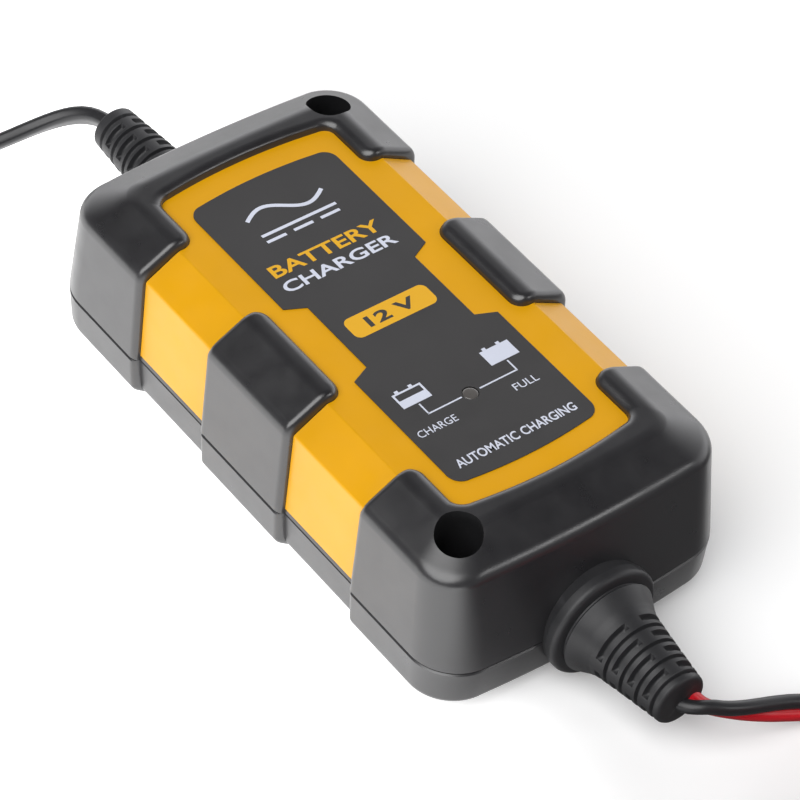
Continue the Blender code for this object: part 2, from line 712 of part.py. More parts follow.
def make_choke():
    bore, radius, height = 0.0026, 0.0064, 0.0070
    foot = BOARD_TOP + GAP
    profile = [
        (radius - 0.0012, foot + height),
        (radius, foot + height - 0.0012),
        (radius, foot + 0.0012),
        (radius - 0.0012, foot),
        (bore, foot),
        (bore, foot + height),
    ]
    turned("line_choke", profile, COPPER, (*CHOKE_CENTRE, 0.0), steps=24)


def make_fuse():
    """A pigtail fuse: a glass body between metal caps, on two wires that drop to the board."""
    x, y = FUSE_CENTRE
    half, cap, radius, wire = 0.0100, 0.0050, 0.0026, 0.0004
    height = BOARD_TOP + 0.0038
    profile = [
        (0.0, half + 0.0012),
        (wire, half + 0.0012),
        (wire, half),
        (radius, half),
        (radius, half - cap),
        (radius - 0.0003, half - cap),
        (radius - 0.0003, cap - half),
        (radius, cap - half),
        (radius, -half),
        (wire, -half),
        (wire, -half - 0.0012),
        (0.0, -half - 0.0012),
    ]
    fuse = turned("fuse", profile, GLASS, (x, y, height), along="+X", steps=16)
    for number, side in enumerate((-1, 1), 1):
        centre = (x + side * (half + 0.0010), y)
        name = f"fuse_wire_{number}"
        wire_post = cylinder(name, centre, wire * 1.5, BOARD_TOP + GAP, height + wire, helper=True, sides=8)
        boolean(fuse, wire_post, "UNION")


def make_legged_package(name, body, legs_x, legs_y, slot=EPOXY):
    """A package held clear of the board by flat legs. body is (low, high)."""
    package = box(name, *body, slot)
    half = 0.0004
    for number, leg_x in enumerate(legs_x, 1):
        low = (leg_x - half, legs_y - half, BOARD_TOP + GAP)
        high = (leg_x + half, legs_y + half, body[0][2] + 0.001)
        boolean(package, box(f"{name}_leg_{number}", low, high, helper=True), "UNION")
    return package


def make_rectifier_bridge():
    x, y = BRIDGE_CENTRE
    half_x, half_y = 0.0075, 0.0018
    low, high = BOARD_TOP + 0.0025, BOARD_TOP + 0.0120
    body = ((x - half_x, y - half_y, low), (x + half_x, y + half_y, high))
    legs = [x + step * 0.0038 for step in (-1.5, -0.5, 0.5, 1.5)]
    make_legged_package("bridge_rectifier", body, legs, y)


def make_heatsink():
    """A finned plate upright on the board, with two switching devices screwed to its flat side."""
    low, high = HEATSINK_X
    back, face, reach = HEATSINK_FACE_Y - 0.0016, HEATSINK_FACE_Y, HEATSINK_FACE_Y - 0.0062
    fins, fin = 6, 0.0010
    pitch = (high - low - fin) / (fins - 1)
    comb = [(low, face), (low, reach)]
    for k in range(fins):
        start = low + k * pitch
        comb += [(start + fin, reach)]
        if k < fins - 1:
            comb += [(start + fin, back), (start + pitch, back), (start + pitch, reach)]
    comb += [(high, face)]
    sink = prism("heatsink", comb, BOARD_TOP + GAP, BOARD_TOP + 0.0165, ALUMINIUM)
    for number, (name, x) in enumerate(DEVICES, 1):
        body_low = (x - 0.0050, face + GAP, BOARD_TOP + 0.0030)
        body_high = (x + 0.0050, face + GAP + 0.0045, BOARD_TOP + 0.0118)
        legs = [x + step * 0.00254 for step in (-1, 0, 1)]
        device = make_legged_package(name, (body_low, body_high), legs, face + 0.0026)
        tab_low = (x - 0.0050, face + GAP, BOARD_TOP + 0.0100)
        tab_high = (x + 0.0050, face + GAP + 0.0013, BOARD_TOP + 0.0180)
        boolean(device, box(f"{name}_tab", tab_low, tab_high, helper=True), "UNION")
        screw_z = BOARD_TOP + 0.0147
        for piece, label in ((sink, "sink"), (device, "tab")):
            hole = cylinder(
                f"cut_{label}_hole_{number}",
                (x, screw_z),
                0.0017,
                face - 0.005,
                face + 0.008,
                helper=True,
                sides=16,
                axis="Y",
            )
            boolean(piece, hole)
        head = 0.0013 + 2 * GAP
        profile = [
            (0.0, head + 0.0018),
            (0.0026, head + 0.0018),
            (0.0026, head),
            (0.0013, head),
            (0.0013, -0.0020),
            (0.0, -0.0020),
        ]
        screw = turned(f"heatsink_screw_{number}", profile, STEEL, (x, face, screw_z), steps=16)
        screw.rotation_euler = (-math.pi / 2, 0.0, 0.0)


def make_indicator():
    foot = BOARD_TOP + GAP
    profile = [
        (0.0, foot + 0.0064),
        (0.0008, foot + 0.0061),
        (0.0014, foot + 0.0050),
        (0.0014, foot + 0.0010),
        (0.0018, foot + 0.0010),
        (0.0018, foot),
        (0.0, foot),
    ]
    turned("indicator_led", profile, LED, (*LENS_CENTRE, 0.0), steps=16)


def make_inner_leads():
    """Insulated wires from each relief to the board."""
    pad = BOARD_TOP + GAP
    start = RELIEF_FLANGE_X[0] - GAP
    leads = (
        ("mains_inner_lead_1", -1, 0.0016, BLUE),
        ("mains_inner_lead_2", -1, -0.0016, BROWN),
        ("clamp_inner_lead_red", 1, 0.0016, RED),
        ("clamp_inner_lead_black", 1, -0.0016, BLACK),
    )
    for name, end, y, slot in leads:
        route = (
            (end * start, y, AXIS_Z),
            (end * (start - 0.0030), y, AXIS_Z + 0.0002),
            (end * (start - 0.0080), 1.3 * y, AXIS_Z + 0.0020),
            (end * (start - 0.0130), 1.6 * y, AXIS_Z + 0.0016),
            (end * (start - 0.0150), 1.6 * y, AXIS_Z - 0.0004),
            (end * (start - 0.0152), 1.6 * y, pad),
        )
        tube(name, smooth_route(route, 0.0014), INNER_LEAD_RADIUS, slot)


# ---------------------------------------------------------------- leads, plug and ties


def grooved(start, length, radius, tip_radius, grooves):
    """A cone's profile from its wide end to its tip, broken by shallow grooves, as (radius, distance)."""
    points = [(radius, start)]
    for k in range(grooves):
        for share, depth in ((0.30, 0.0), (0.34, 0.0008), (0.66, 0.0008), (0.70, 0.0)):
            t = (k + share) / grooves
            points.append((radius + (tip_radius - radius) * t - depth, start + length * t))
    return [*points, (tip_radius, start + length)]


def relief_profile(outside, mouth):
    """The part in the wall, the outside, then the tip and its mouth, as (radius, distance) points."""
    inner, flange = RELIEF_FLANGE_X
    held = [
        (0.0, inner),
        (RELIEF_FLANGE_RADIUS, inner),
        (RELIEF_FLANGE_RADIUS, flange),
        (RELIEF_NECK_RADIUS, flange),
        (RELIEF_NECK_RADIUS, RELIEF_START_X),
    ]
    return list(reversed([*held, *outside, *mouth]))


def make_strain_reliefs():
    flange_end, cone_end = 0.0676, 0.0745
    outside = [
        (0.0112, RELIEF_START_X),
        (0.0120, RELIEF_START_X + 0.0008),
        (0.0120, flange_end - 0.0010),
        (0.0112, flange_end),
        (0.0096, flange_end + 0.0002),
        (0.0078, flange_end + 0.0035),
        *grooved(cone_end, CLAMP_RELIEF_TIP_X - cone_end, 0.0070, 0.00525, 4),
    ]
    mouth = [(0.00325, CLAMP_RELIEF_TIP_X), (0.00325, CLAMP_RELIEF_MOUTH_X), (0.0, CLAMP_RELIEF_MOUTH_X)]
    turned("clamp_strain_relief", relief_profile(outside, mouth), RUBBER, (0, 0, AXIS_Z), "+X", steps=20)
    collar_end = RELIEF_START_X + 0.0030
    outside = [
        (0.0067, RELIEF_START_X),
        *grooved(collar_end, MAINS_RELIEF_TIP_X - collar_end, 0.0066, 0.00495, 5),
    ]
    mouth = [(0.0, MAINS_RELIEF_TIP_X)]
    turned("mains_strain_relief", relief_profile(outside, mouth), RUBBER, (0, 0, AXIS_Z), "-X", steps=20)


def make_coil(name, centre):
    """The outer shape of a wound coil: a ring with rounded edges, lying just clear of the ground."""
    inner, outer = COIL_RADIUS - COIL_HALF_BUNDLE, COIL_RADIUS + COIL_HALF_BUNDLE
    edge = 0.0022
    profile = [
        (inner + edge, COIL_TOP),
        (outer - edge, COIL_TOP),
        (outer, COIL_TOP - edge),
        (outer, COIL_BOTTOM + edge),
        (outer - edge, COIL_BOTTOM),
        (inner + edge, COIL_BOTTOM),
        (inner, COIL_BOTTOM + edge),
        (inner, COIL_TOP - edge),
    ]
    turned(name, profile, RUBBER, (*centre, 0.0), steps=36)


def make_tie(name, centre, side):
    """A strap round a coil's bundle, on the coil's +X or -X side."""
    bow = COIL_RADIUS - COIL_HALF_BUNDLE
    slack = bow - math.sqrt(bow**2 - (TIE_WIDTH / 2) ** 2) + GAP
    near, far = bow - slack, COIL_RADIUS + COIL_HALF_BUNDLE + GAP
    low, high = COIL_BOTTOM - GAP, COIL_TOP + GAP
    half = TIE_WIDTH / 2
    ends = sorted((centre[0] + side * near, centre[0] + side * far))
    t = TIE_THICKNESS
    tie = box(name, (ends[0] - t, -half, low - t), (ends[1] + t, half, high + t), RUBBER)
    inside = box(f"cut_{name}", (ends[0], -2 * half, low), (ends[1], 2 * half, high), helper=True)
    boolean(tie, inside)


def make_leads():
    tube("mains_cord", smooth_route(MAINS_ROUTE, 0.0040), MAINS_RADIUS, RUBBER)
    tube("mains_cord_tail", smooth_route(PLUG_TAIL_ROUTE, 0.0036), MAINS_RADIUS, RUBBER)
    tube("clamp_lead", smooth_route(CLAMP_LEAD_ROUTE, 0.0036), TWIN_RADIUS, RUBBER)
    tube("clamp_lead_end", smooth_route(CLAMP_LEAD_END, 0.0036), TWIN_RADIUS, RUBBER)
    tube("black_tail", smooth_route(BLACK_TAIL_ROUTE, 0.0034), TWIN_RADIUS, BLACK)
    tube("red_tail", smooth_route(RED_TAIL_ROUTE, 0.0034), TWIN_RADIUS, RED)
    make_coil("mains_coil", MAINS_COIL_CENTRE)
    make_coil("clamp_coil", CLAMP_COIL_CENTRE)
    make_tie("mains_coil_tie", MAINS_COIL_CENTRE, -1)
    make_tie("clamp_coil_tie", CLAMP_COIL_CENTRE, 1)


def make_plug():
    """A flat two-pin plug: a lofted body that narrows to its cord, and two round pins."""
    sections = (  # distance from the cord's end, half width, half thickness, corner radius
        (0.0, 0.0042, 0.0040, 0.0036),
        (0.0130, 0.0058, 0.0050, 0.0045),
        (0.0170, 0.0090, 0.0062, 0.0056),
        (0.0250, 0.0160, 0.0069, 0.0060),
        (0.0390, 0.0175, 0.0069, 0.0060),
        (0.0400, 0.0165, 0.0060, 0.0052),
    )
    front = sections[-1][0]
    body = loft("mains_plug_body", [(z, y, x, radius, 0.0) for z, x, y, radius in sections], RUBBER)
    body.rotation_euler = (0.0, -math.pi / 2, 0.0)
    body.location = (PLUG_REAR_X, 0.0, PLUG_AXIS_Z)
    smooth(body)
    for number, side in enumerate((-1, 1), 1):
        centre = (side * PLUG_PIN_SPACING / 2, PLUG_AXIS_Z)
        face = PLUG_REAR_X - front
        tip = face - PLUG_PIN_LENGTH
        socket = cylinder(
            f"cut_pin_seat_{number}",
            centre,
            PLUG_PIN_RADIUS + GAP,
            face - 0.002,
            face + 0.012,
            helper=True,
            sides=20,
            axis="X",
        )
        boolean(body, socket)
        length = face + 0.0115 - tip
        profile = [
            (0.0, length),
            (PLUG_PIN_RADIUS - 0.0010, length),
            (PLUG_PIN_RADIUS, length - 0.0010),
            (PLUG_PIN_RADIUS, 0.0),
            (0.0, 0.0),
        ]
        place = (face + 0.0115, *centre)
        turned(f"mains_plug_pin_{number}", profile, BRASS, place, "-X", steps=20)


# ---------------------------------------------------------------- clamps


def half_outline(spread):
    """Side view of a stamped half: u from the pivot to the jaw's tip, v away from the teeth."""
    teeth, pitch, depth = 6, 0.0030, 0.0010
    shy = GAP / 2
    start, back, edge = HANDLE_START
    points = [
        (JAW_LENGTH, shy),
        (JAW_LENGTH + 0.0006, 0.0016),
        (JAW_LENGTH - 0.0010, 0.0042),
        (JAW_LENGTH - 0.0060, 0.0066),
        (0.0080, 0.0082),
        (-start, back),
        (-HANDLE_LENGTH, spread),
        (-HANDLE_LENGTH, spread - HANDLE_DEPTH),
        (-start, edge),
        (-0.0052, 0.0022),
    ]
    for k in range(9):
        angle = math.radians(200 + 140 * k / 8)
        points.append((EAR_RADIUS * math.cos(angle), EAR_RADIUS * math.sin(angle)))
    first = JAW_LENGTH - teeth * pitch
    points.append((first, shy + depth))
    for k in range(teeth):
        if k:
            points.append((first + k * pitch, shy + depth))
        if k < teeth - 1:
            points.append((first + (k + 0.5) * pitch, shy))
    return points


def handle_heights(spread, distance):
    """The heights of a handle's back and edge at a distance behind the pivot."""
    start, back, edge = HANDLE_START
    share = (distance - start) / (HANDLE_LENGTH - start)
    return back + share * (spread - back), edge + share * (spread - HANDLE_DEPTH - edge)


def hollow_outline(spread):
    """The inside of the channel, one sheet thickness in from its back and open past its teeth."""
    past = HANDLE_LENGTH + 0.0100
    return [
        (JAW_LENGTH - 0.0008, -0.0100),
        (JAW_LENGTH - 0.0008, 0.0016),
        (JAW_LENGTH - 0.0017, 0.0036),
        (JAW_LENGTH - 0.0064, 0.0066 - SHEET),
        (0.0080, 0.0082 - SHEET),
        (-HANDLE_START[0], HANDLE_START[1] - SHEET),
        (-past, handle_heights(spread, past)[0] - SHEET),
        (-past, -0.0100),
    ]


def grip_outline(spread, margin, start, end):
    """A handle's side view between two distances behind the pivot, grown by margin."""
    (back_1, edge_1), (back_2, edge_2) = handle_heights(spread, start), handle_heights(spread, end)
    upper = [(-start, back_1 + margin), (-end, back_2 + margin)]
    return [*upper, (-end, edge_2 - margin), (-start, edge_1 - margin)]


def at_pivot(obj, pivot):
    obj.location = pivot
    return obj


def make_half(name, pivot, facing, spread, half_width):
    """facing is +1 when the half's back is towards +Y."""
    side_view = [(u, facing * v) for u, v in half_outline(spread)]
    hollow = [(u, facing * v) for u, v in hollow_outline(spread)]
    inside = half_width - SHEET
    half = at_pivot(prism(name, side_view, -half_width, half_width, STEEL), pivot)
    boolean(half, at_pivot(prism(f"cut_{name}", hollow, -inside, inside, helper=True), pivot))
    hole = cylinder(f"cut_{name}_pivot", (0, 0), PIVOT_PIN_RADIUS + GAP, -0.01, 0.01, helper=True, sides=20)
    boolean(half, at_pivot(hole, pivot))


def make_grip(name, pivot, facing, spread, half_width, slot):
    """A moulded sleeve over a handle, closed at its rear."""
    corners = grip_outline(spread, GAP + GRIP_WALL, GRIP_START, GRIP_END)
    shape = rounded(corners, [0.0008, 0.0030, 0.0030, 0.0008])
    inside = grip_outline(spread, GAP, GRIP_START - 0.0050, HANDLE_LENGTH + GAP)
    outer = [(u, facing * v) for u, v in shape]
    inner = [(u, facing * v) for u, v in inside]
    grip = at_pivot(prism(name, outer, -GRIP_HALF_WIDTH, GRIP_HALF_WIDTH, slot), pivot)
    reach = half_width + GAP
    boolean(grip, at_pivot(prism(f"cut_{name}", inner, -reach, reach, helper=True), pivot))


def make_pivot_pin(name, pivot):
    head = FIXED_HALF_WIDTH + GAP
    end = head + 0.0008
    profile = [(0.0, end), (0.0024, end), (0.0024, head), (PIVOT_PIN_RADIUS, head)]
    profile += [(radius, -height) for radius, height in reversed(profile)]
    turned(name, profile, STEEL, pivot, steps=20)


def make_clamp_spring(name, pivot, facing):
    """A torsion spring round the pin, with a leg inside each handle. facing is the moving half's side."""
    radius, wire, turns, rise = 0.0027, 0.0005, 4.5, 0.0012
    steps = 8
    low = -turns * rise / 2
    coil = []
    for k in range(int(turns * steps) + 1):
        angle = 2 * math.pi * k / steps - math.pi / 2
        coil.append((radius * math.cos(angle), radius * math.sin(angle), low + rise * k / steps))
    reach = 0.0200
    fixed_leg, moving_leg = (
        handle_heights(spread, reach)[0] - SHEET - 2 * wire for spread in (FIXED_SPREAD, MOVING_SPREAD)
    )
    first = [(-reach, -fixed_leg, low), (-0.0080, -0.0060, low)]
    last = [(-0.0080, 0.0060, -low), (-reach, moving_leg, -low)]
    points = [(x, facing * y, z) for x, y, z in (*first, *coil, *last)]
    spring = tube(name, points, wire, STEEL, resolution=1)
    spring.location = pivot


def make_clamp(colour, slot, side):
    """side is +1 for the clamp on the +Y side. Its outer half moves."""
    pivot = (CLAMP_PIVOT_X, side * CLAMP_PIVOT_Y, CLAMP_Z)
    make_half(f"{colour}_clamp_fixed_half", pivot, -side, FIXED_SPREAD, FIXED_HALF_WIDTH)
    make_half(f"{colour}_clamp_moving_half", pivot, side, MOVING_SPREAD, MOVING_HALF_WIDTH)
    make_grip(f"{colour}_clamp_fixed_grip", pivot, -side, FIXED_SPREAD, FIXED_HALF_WIDTH, slot)
    make_grip(f"{colour}_clamp_moving_grip", pivot, side, MOVING_SPREAD, MOVING_HALF_WIDTH, slot)
    make_pivot_pin(f"{colour}_clamp_pin", pivot)
    make_clamp_spring(f"{colour}_clamp_spring", pivot, side)


make_top_shell()
make_base_shell()
make_face_panel()
make_label()
make_indicator_lens()
make_housing_screws()
make_board()
make_transformer()
make_capacitor("mains_capacitor", MAINS_CAPACITOR_CENTRE, 0.0062, 0.0180)
make_capacitor("output_capacitor", OUTPUT_CAPACITOR_CENTRE, 0.0050, 0.0160)
make_choke()
make_fuse()
on_board("line_film_capacitor", FILM_CAPACITOR_CENTRE, (0.0065, 0.0034), 0.0105, FILM_BOX, bevel=0.0005)
on_board("controller_chip", CHIP_CENTRE, (0.0043, 0.0020), 0.0017, EPOXY, bevel=0.0002)
make_rectifier_bridge()
make_heatsink()
make_indicator()
make_inner_leads()
make_strain_reliefs()
make_leads()
make_plug()
make_clamp("red", RED, 1)
make_clamp("black", BLACK, -1)
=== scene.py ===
import contextlib
import json
import math

import bmesh
import bpy
import numpy as np
from mathutils import Matrix, Vector

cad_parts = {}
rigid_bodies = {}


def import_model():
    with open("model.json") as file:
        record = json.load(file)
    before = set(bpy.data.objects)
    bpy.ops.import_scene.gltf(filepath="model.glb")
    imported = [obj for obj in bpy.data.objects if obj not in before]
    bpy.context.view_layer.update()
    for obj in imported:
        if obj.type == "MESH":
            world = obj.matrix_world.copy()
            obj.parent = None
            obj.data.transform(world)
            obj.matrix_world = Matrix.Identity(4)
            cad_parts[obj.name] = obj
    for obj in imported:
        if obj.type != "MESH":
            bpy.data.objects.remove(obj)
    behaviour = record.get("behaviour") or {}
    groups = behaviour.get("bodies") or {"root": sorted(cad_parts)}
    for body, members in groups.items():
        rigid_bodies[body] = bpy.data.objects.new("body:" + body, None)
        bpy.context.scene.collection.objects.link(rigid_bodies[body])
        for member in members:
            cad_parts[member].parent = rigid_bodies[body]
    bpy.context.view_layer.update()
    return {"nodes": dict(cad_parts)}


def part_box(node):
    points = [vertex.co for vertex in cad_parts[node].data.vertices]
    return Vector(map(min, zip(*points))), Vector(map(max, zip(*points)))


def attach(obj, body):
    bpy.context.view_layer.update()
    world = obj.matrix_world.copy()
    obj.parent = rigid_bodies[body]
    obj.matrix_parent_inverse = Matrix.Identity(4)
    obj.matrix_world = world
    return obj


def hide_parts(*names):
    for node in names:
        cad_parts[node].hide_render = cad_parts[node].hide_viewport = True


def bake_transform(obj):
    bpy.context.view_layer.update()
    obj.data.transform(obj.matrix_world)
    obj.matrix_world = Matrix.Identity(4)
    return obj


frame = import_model()

MM = 0.001
PIECES = bpy.data.collections.new("visual_pieces")
CUTTERS = bpy.data.collections.new("cutters")
for group in (PIECES, CUTTERS):
    bpy.context.scene.collection.children.link(group)
CUTTERS.hide_render = True

# ---- camera, floor and lights

AZIMUTH, ELEVATION, ROLL = (math.radians(a) for a in (49.685, 45.839, 5.006))
CAMERA_PLACE = (0.3986, -0.3339, 0.5478)


def make_camera():
    back = Vector(
        (math.sin(AZIMUTH) * math.cos(ELEVATION), -math.cos(AZIMUTH) * math.cos(ELEVATION), math.sin(ELEVATION))
    )
    level = Vector((math.cos(AZIMUTH), math.sin(AZIMUTH), 0.0))
    upright = back.cross(level)
    right = math.cos(ROLL) * level + math.sin(ROLL) * upright
    up = math.cos(ROLL) * upright - math.sin(ROLL) * level
    data = bpy.data.cameras.new("camera")
    data.sensor_width = 36.0
    data.lens = 177.53
    camera = bpy.data.objects.new("camera", data)
    camera.matrix_world = Matrix([(right[i], up[i], back[i], CAMERA_PLACE[i]) for i in range(3)] + [(0, 0, 0, 1)])
    bpy.context.scene.collection.objects.link(camera)
    bpy.context.scene.camera = camera


def sun(name, towards, power, degrees):
    """A light, degrees across, that shines on the object from the given direction."""
    data = bpy.data.lights.new(name, "SUN")
    data.energy = power
    data.angle = math.radians(degrees)
    obj = bpy.data.objects.new(name, data)
    obj.location = towards
    obj.rotation_euler = Vector(towards).to_track_quat("Z", "Y").to_euler()
    bpy.context.scene.collection.objects.link(obj)


# ---- shader nodes


def node(tree, kind, inputs=(), **settings):
    """A new node. inputs gives, by name or number, a value or the output that feeds it."""
    made = tree.nodes.new("ShaderNode" + kind)
    for setting, value in settings.items():
        setattr(made, setting, value)
    for socket, value in dict(inputs).items():
        if isinstance(value, bpy.types.NodeSocket):
            tree.links.new(value, made.inputs[socket])
        else:
            made.inputs[socket].default_value = value
    return made


def ramp(tree, source, low, high, colours, interpolation="LINEAR"):
    """A colour ramp between two positions of a 0 to 1 value."""
    made = node(tree, "ValToRGB", {"Fac": source})
    made.color_ramp.interpolation = interpolation
    for stop, place, colour in zip(made.color_ramp.elements, (low, high), colours):
        stop.position = place
        stop.color = (*colour, 1.0)
    return made.outputs["Color"]


def ranged(tree, source, start, end, low, high, interpolation="LINEAR"):
    """The value that goes from low to high while source goes from start to end."""
    inputs = {"Value": source, "From Min": start, "From Max": end, "To Min": low, "To Max": high}
    return node(tree, "MapRange", inputs, interpolation_type=interpolation).outputs["Result"]


def noise(tree, place, scale, detail, stretch=None):
    if stretch:
        place = node(tree, "Mapping", {"Vector": place, "Scale": stretch}).outputs["Vector"]
    return node(tree, "TexNoise", {"Vector": place, "Scale": scale, "Detail": detail}).outputs["Fac"]


def make_world():
    """A dim studio whose low wall, beyond the far end, is bright."""
    world = bpy.data.worlds.new("studio")
    bpy.context.scene.world = world
    world.use_nodes = True
    tree = world.node_tree
    towards = node(tree, "TexCoord").outputs["Generated"]
    upward = node(tree, "SeparateXYZ", {"Vector": towards}).outputs["Z"]
    height = ramp(tree, upward, 0.14, 0.80, ((1.0, 1.0, 1.02), (0.05, 0.05, 0.051)), "EASE")
    far = node(tree, "VectorMath", {0: towards, 1: (-0.55, 0.83, 0.0)}, operation="DOT_PRODUCT")
    share = ranged(tree, far.outputs["Value"], 0.1, 0.7, 0.10, 1.0, "SMOOTHSTEP")
    wall = node(tree, "VectorMath", {0: height, "Scale": share}, operation="SCALE")
    background = tree.nodes["Background"]
    background.inputs["Strength"].default_value = 2.0
    tree.links.new(wall.outputs["Vector"], background.inputs["Color"])


make_camera()
make_world()
sun("softbox", (0.15, -0.55, 0.80), 2.9, 60)
sun("edge", (0.716, 0.451, 0.53), 0.30, 16)
bpy.context.scene.view_settings.view_transform = "Standard"

# ---- materials


def finish(
    name,
    colour,
    roughness,
    metallic=0.0,
    spread=0.12,
    patches=60.0,
    rough_spread=0.06,
    grain=2600.0,
    depth=0.00002,
    strength=0.25,
    worn=0.0,
    stretch=None,
    sockets=(),
):
    """A Principled material with a fine grain, uneven gloss, slight colour patches and, where worn is set, paler edges.
    """
    material = bpy.data.materials.new(name)
    material.use_nodes = True
    tree = material.node_tree
    shader = tree.nodes["Principled BSDF"]
    shader.inputs["Metallic"].default_value = metallic
    for socket, value in sockets:
        shader.inputs[socket].default_value = value
    place = node(tree, "TexCoord").outputs["Object"]
    darker = tuple(c * (1 - spread) for c in colour)
    paler = tuple(min(1.0, c * (1 + spread)) for c in colour)
    shade = ramp(tree, noise(tree, place, patches, 4.0, stretch), 0.3, 0.7, (darker, paler))
    if worn:
        pointed = node(tree, "NewGeometry").outputs["Pointiness"]
        edge = ramp(tree, pointed, 0.515, 0.60, ((0, 0, 0), (worn, worn, worn)))
        rubbed = (*(min(1.0, c * 1.6 + 0.03) for c in colour), 1.0)
        shade = node(tree, "Mix", {"Factor": edge, "A": shade, "B": rubbed}, data_type="RGBA").outputs["Result"]
    gloss = noise(tree, place, patches * 3, 5.0, stretch)
    rough = ranged(tree, gloss, 0.3, 0.7, roughness - rough_spread, roughness + rough_spread)
    fine = noise(tree, place, grain, 2.0, stretch)
    bump = node(tree, "Bump", {"Strength": strength, "Distance": depth, "Height": fine}).outputs["Normal"]
    for socket, source in (("Base Color", shade), ("Roughness", rough), ("Normal", bump)):
        tree.links.new(source, shader.inputs[socket])
    return material


BLACK = finish(
    "moulded_black", (0.016, 0.0155, 0.0175), 0.31, worn=0.3, grain=3400.0, strength=0.20, rough_spread=0.04,
    sockets=(("IOR", 1.78),),
)
YELLOW = finish(
    "moulded_yellow", (0.75, 0.360, 0.001), 0.34, spread=0.03, grain=3400.0, strength=0.18, sockets=(("IOR", 1.42),)
)
LABEL = finish("printed_film", (0.039, 0.0375, 0.038), 0.46, spread=0.05, grain=1800.0, strength=0.08)
INK_WHITE = finish("white_ink", (0.66, 0.69, 0.80), 0.5, spread=0.04, grain=3000.0, strength=0.1)
INK_YELLOW = finish("yellow_ink", (0.80, 0.42, 0.008), 0.5, spread=0.03, grain=3000.0, strength=0.1)
WINDOW = finish("smoked_lens", (0.10, 0.093, 0.088), 0.16, spread=0.1, strength=0.05, sockets=(("IOR", 1.49),))
RUBBER = finish("soft_black_pvc", (0.020, 0.020, 0.022), 0.47, worn=0.3, grain=2200.0, strength=0.3)
CORD_BLACK = finish("cord_black_pvc", (0.018, 0.018, 0.020), 0.36, grain=1500.0, strength=0.12)
CORD_RED = finish("cord_red_pvc", (0.60, 0.012, 0.022), 0.34, spread=0.06, grain=1500.0, strength=0.12)
GRIP_RED = finish("grip_red_pvc", (0.52, 0.012, 0.016), 0.42, spread=0.08, worn=0.3, grain=2200.0, strength=0.3)
STRAP = finish("strap_pvc", (0.030, 0.030, 0.032), 0.5, grain=1500.0, strength=0.3)
STEEL = finish(
    "zinc_plated_steel", (0.60, 0.60, 0.61), 0.30, 1.0, spread=0.10, patches=240.0, rough_spread=0.1, worn=0.4,
    grain=900.0, depth=0.00003, strength=0.15, stretch=(1.0, 8.0, 1.0),
)
BRASS = finish(
    "nickelled_brass", (0.72, 0.69, 0.60), 0.22, 1.0, spread=0.08, patches=200.0, rough_spread=0.08, grain=1200.0,
    depth=0.00002, strength=0.12, stretch=(6.0, 1.0, 1.0),
)
# Painted shade: the screw wells' insides are coloured near-black.
WELL_SHADE = finish("well_shadow", (0.006, 0.006, 0.007), 0.6, strength=0.2)
CARRIED = {
    "circuit_board": finish("board_laminate", (0.03, 0.16, 0.06), 0.42, patches=400.0, strength=0.3, grain=1200.0),
    "ferrite": finish("sintered_ferrite", (0.035, 0.035, 0.038), 0.62, grain=1600.0, depth=0.00005, strength=0.5),
    "winding_tape": finish("polyester_tape", (0.72, 0.50, 0.04), 0.34, stretch=(1.0, 1.0, 9.0), grain=500.0),
    "capacitor_sleeve": finish("shrunk_sleeve", (0.015, 0.025, 0.09), 0.3, spread=0.15, strength=0.12),
    "enamelled_copper": finish("copper_enamel", (0.55, 0.20, 0.07), 0.28, 0.8, grain=700.0, stretch=(9.0, 1.0, 9.0)),
    "film_capacitor": finish("cast_box", (0.62, 0.52, 0.06), 0.38, grain=1500.0),
    "fuse_glass": finish("tube_glass", (0.72, 0.78, 0.78), 0.08, spread=0.03, strength=0.03),
    "black_epoxy": finish("moulding_compound", (0.016, 0.016, 0.017), 0.5, grain=2400.0, strength=0.5),
    "aluminium": finish("extruded_aluminium", (0.62, 0.63, 0.65), 0.34, 1.0, grain=900.0, stretch=(9.0, 9.0, 1.0)),
    "led_epoxy": finish("diffused_epoxy", (0.72, 0.80, 0.62), 0.25, spread=0.05, strength=0.08),
    "blue_pvc": finish("wire_blue", (0.03, 0.09, 0.42), 0.38, strength=0.15),
    "brown_pvc": finish("wire_brown", (0.17, 0.06, 0.025), 0.38, strength=0.15),
    "red_pvc": CORD_RED,
    "black_pvc": CORD_BLACK,
    "black_plastic": BLACK,
    "zinc_steel": STEEL,
    "clamp_steel": STEEL,
    "nickel_brass": BRASS,
    "soft_pvc": RUBBER,
    "strap": STRAP,
    "yellow_plastic": YELLOW,
    "label_film": LABEL,
    "clear_lens": WINDOW,
}

# ---- building helpers


@contextlib.contextmanager
def edited(mesh):
    """The mesh as a bmesh, which is written back at the end."""
    made = bmesh.new()
    made.from_mesh(mesh)
    yield made
    made.to_mesh(mesh)
    made.free()


def add(name, mesh, *materials, helper=False):
    obj = bpy.data.objects.new(name, mesh)
    (CUTTERS if helper else PIECES).objects.link(obj)
    obj.hide_render = helper
    for material in materials:
        mesh.materials.append(material)
    return obj


def shade(obj, degrees=35.0):
    for polygon in obj.data.polygons:
        polygon.use_smooth = True
    obj.data.set_sharp_from_angle(angle=math.radians(degrees))
    return obj


def levelled(obj):
    """Normals that follow the larger faces, so that slivers at a cut don't show."""
    even = obj.modifiers.new("level", "WEIGHTED_NORMAL")
    even.keep_sharp = True
    even.weight = 80
    return applied(obj)


def from_arrays(name, points, faces, *materials, helper=False):
    mesh = bpy.data.meshes.new(name)
    mesh.from_pydata([tuple(map(float, p)) for p in points], [], faces)
    with edited(mesh) as made:
        bmesh.ops.recalc_face_normals(made, faces=made.faces)
    return add(name, mesh, *materials, helper=helper)


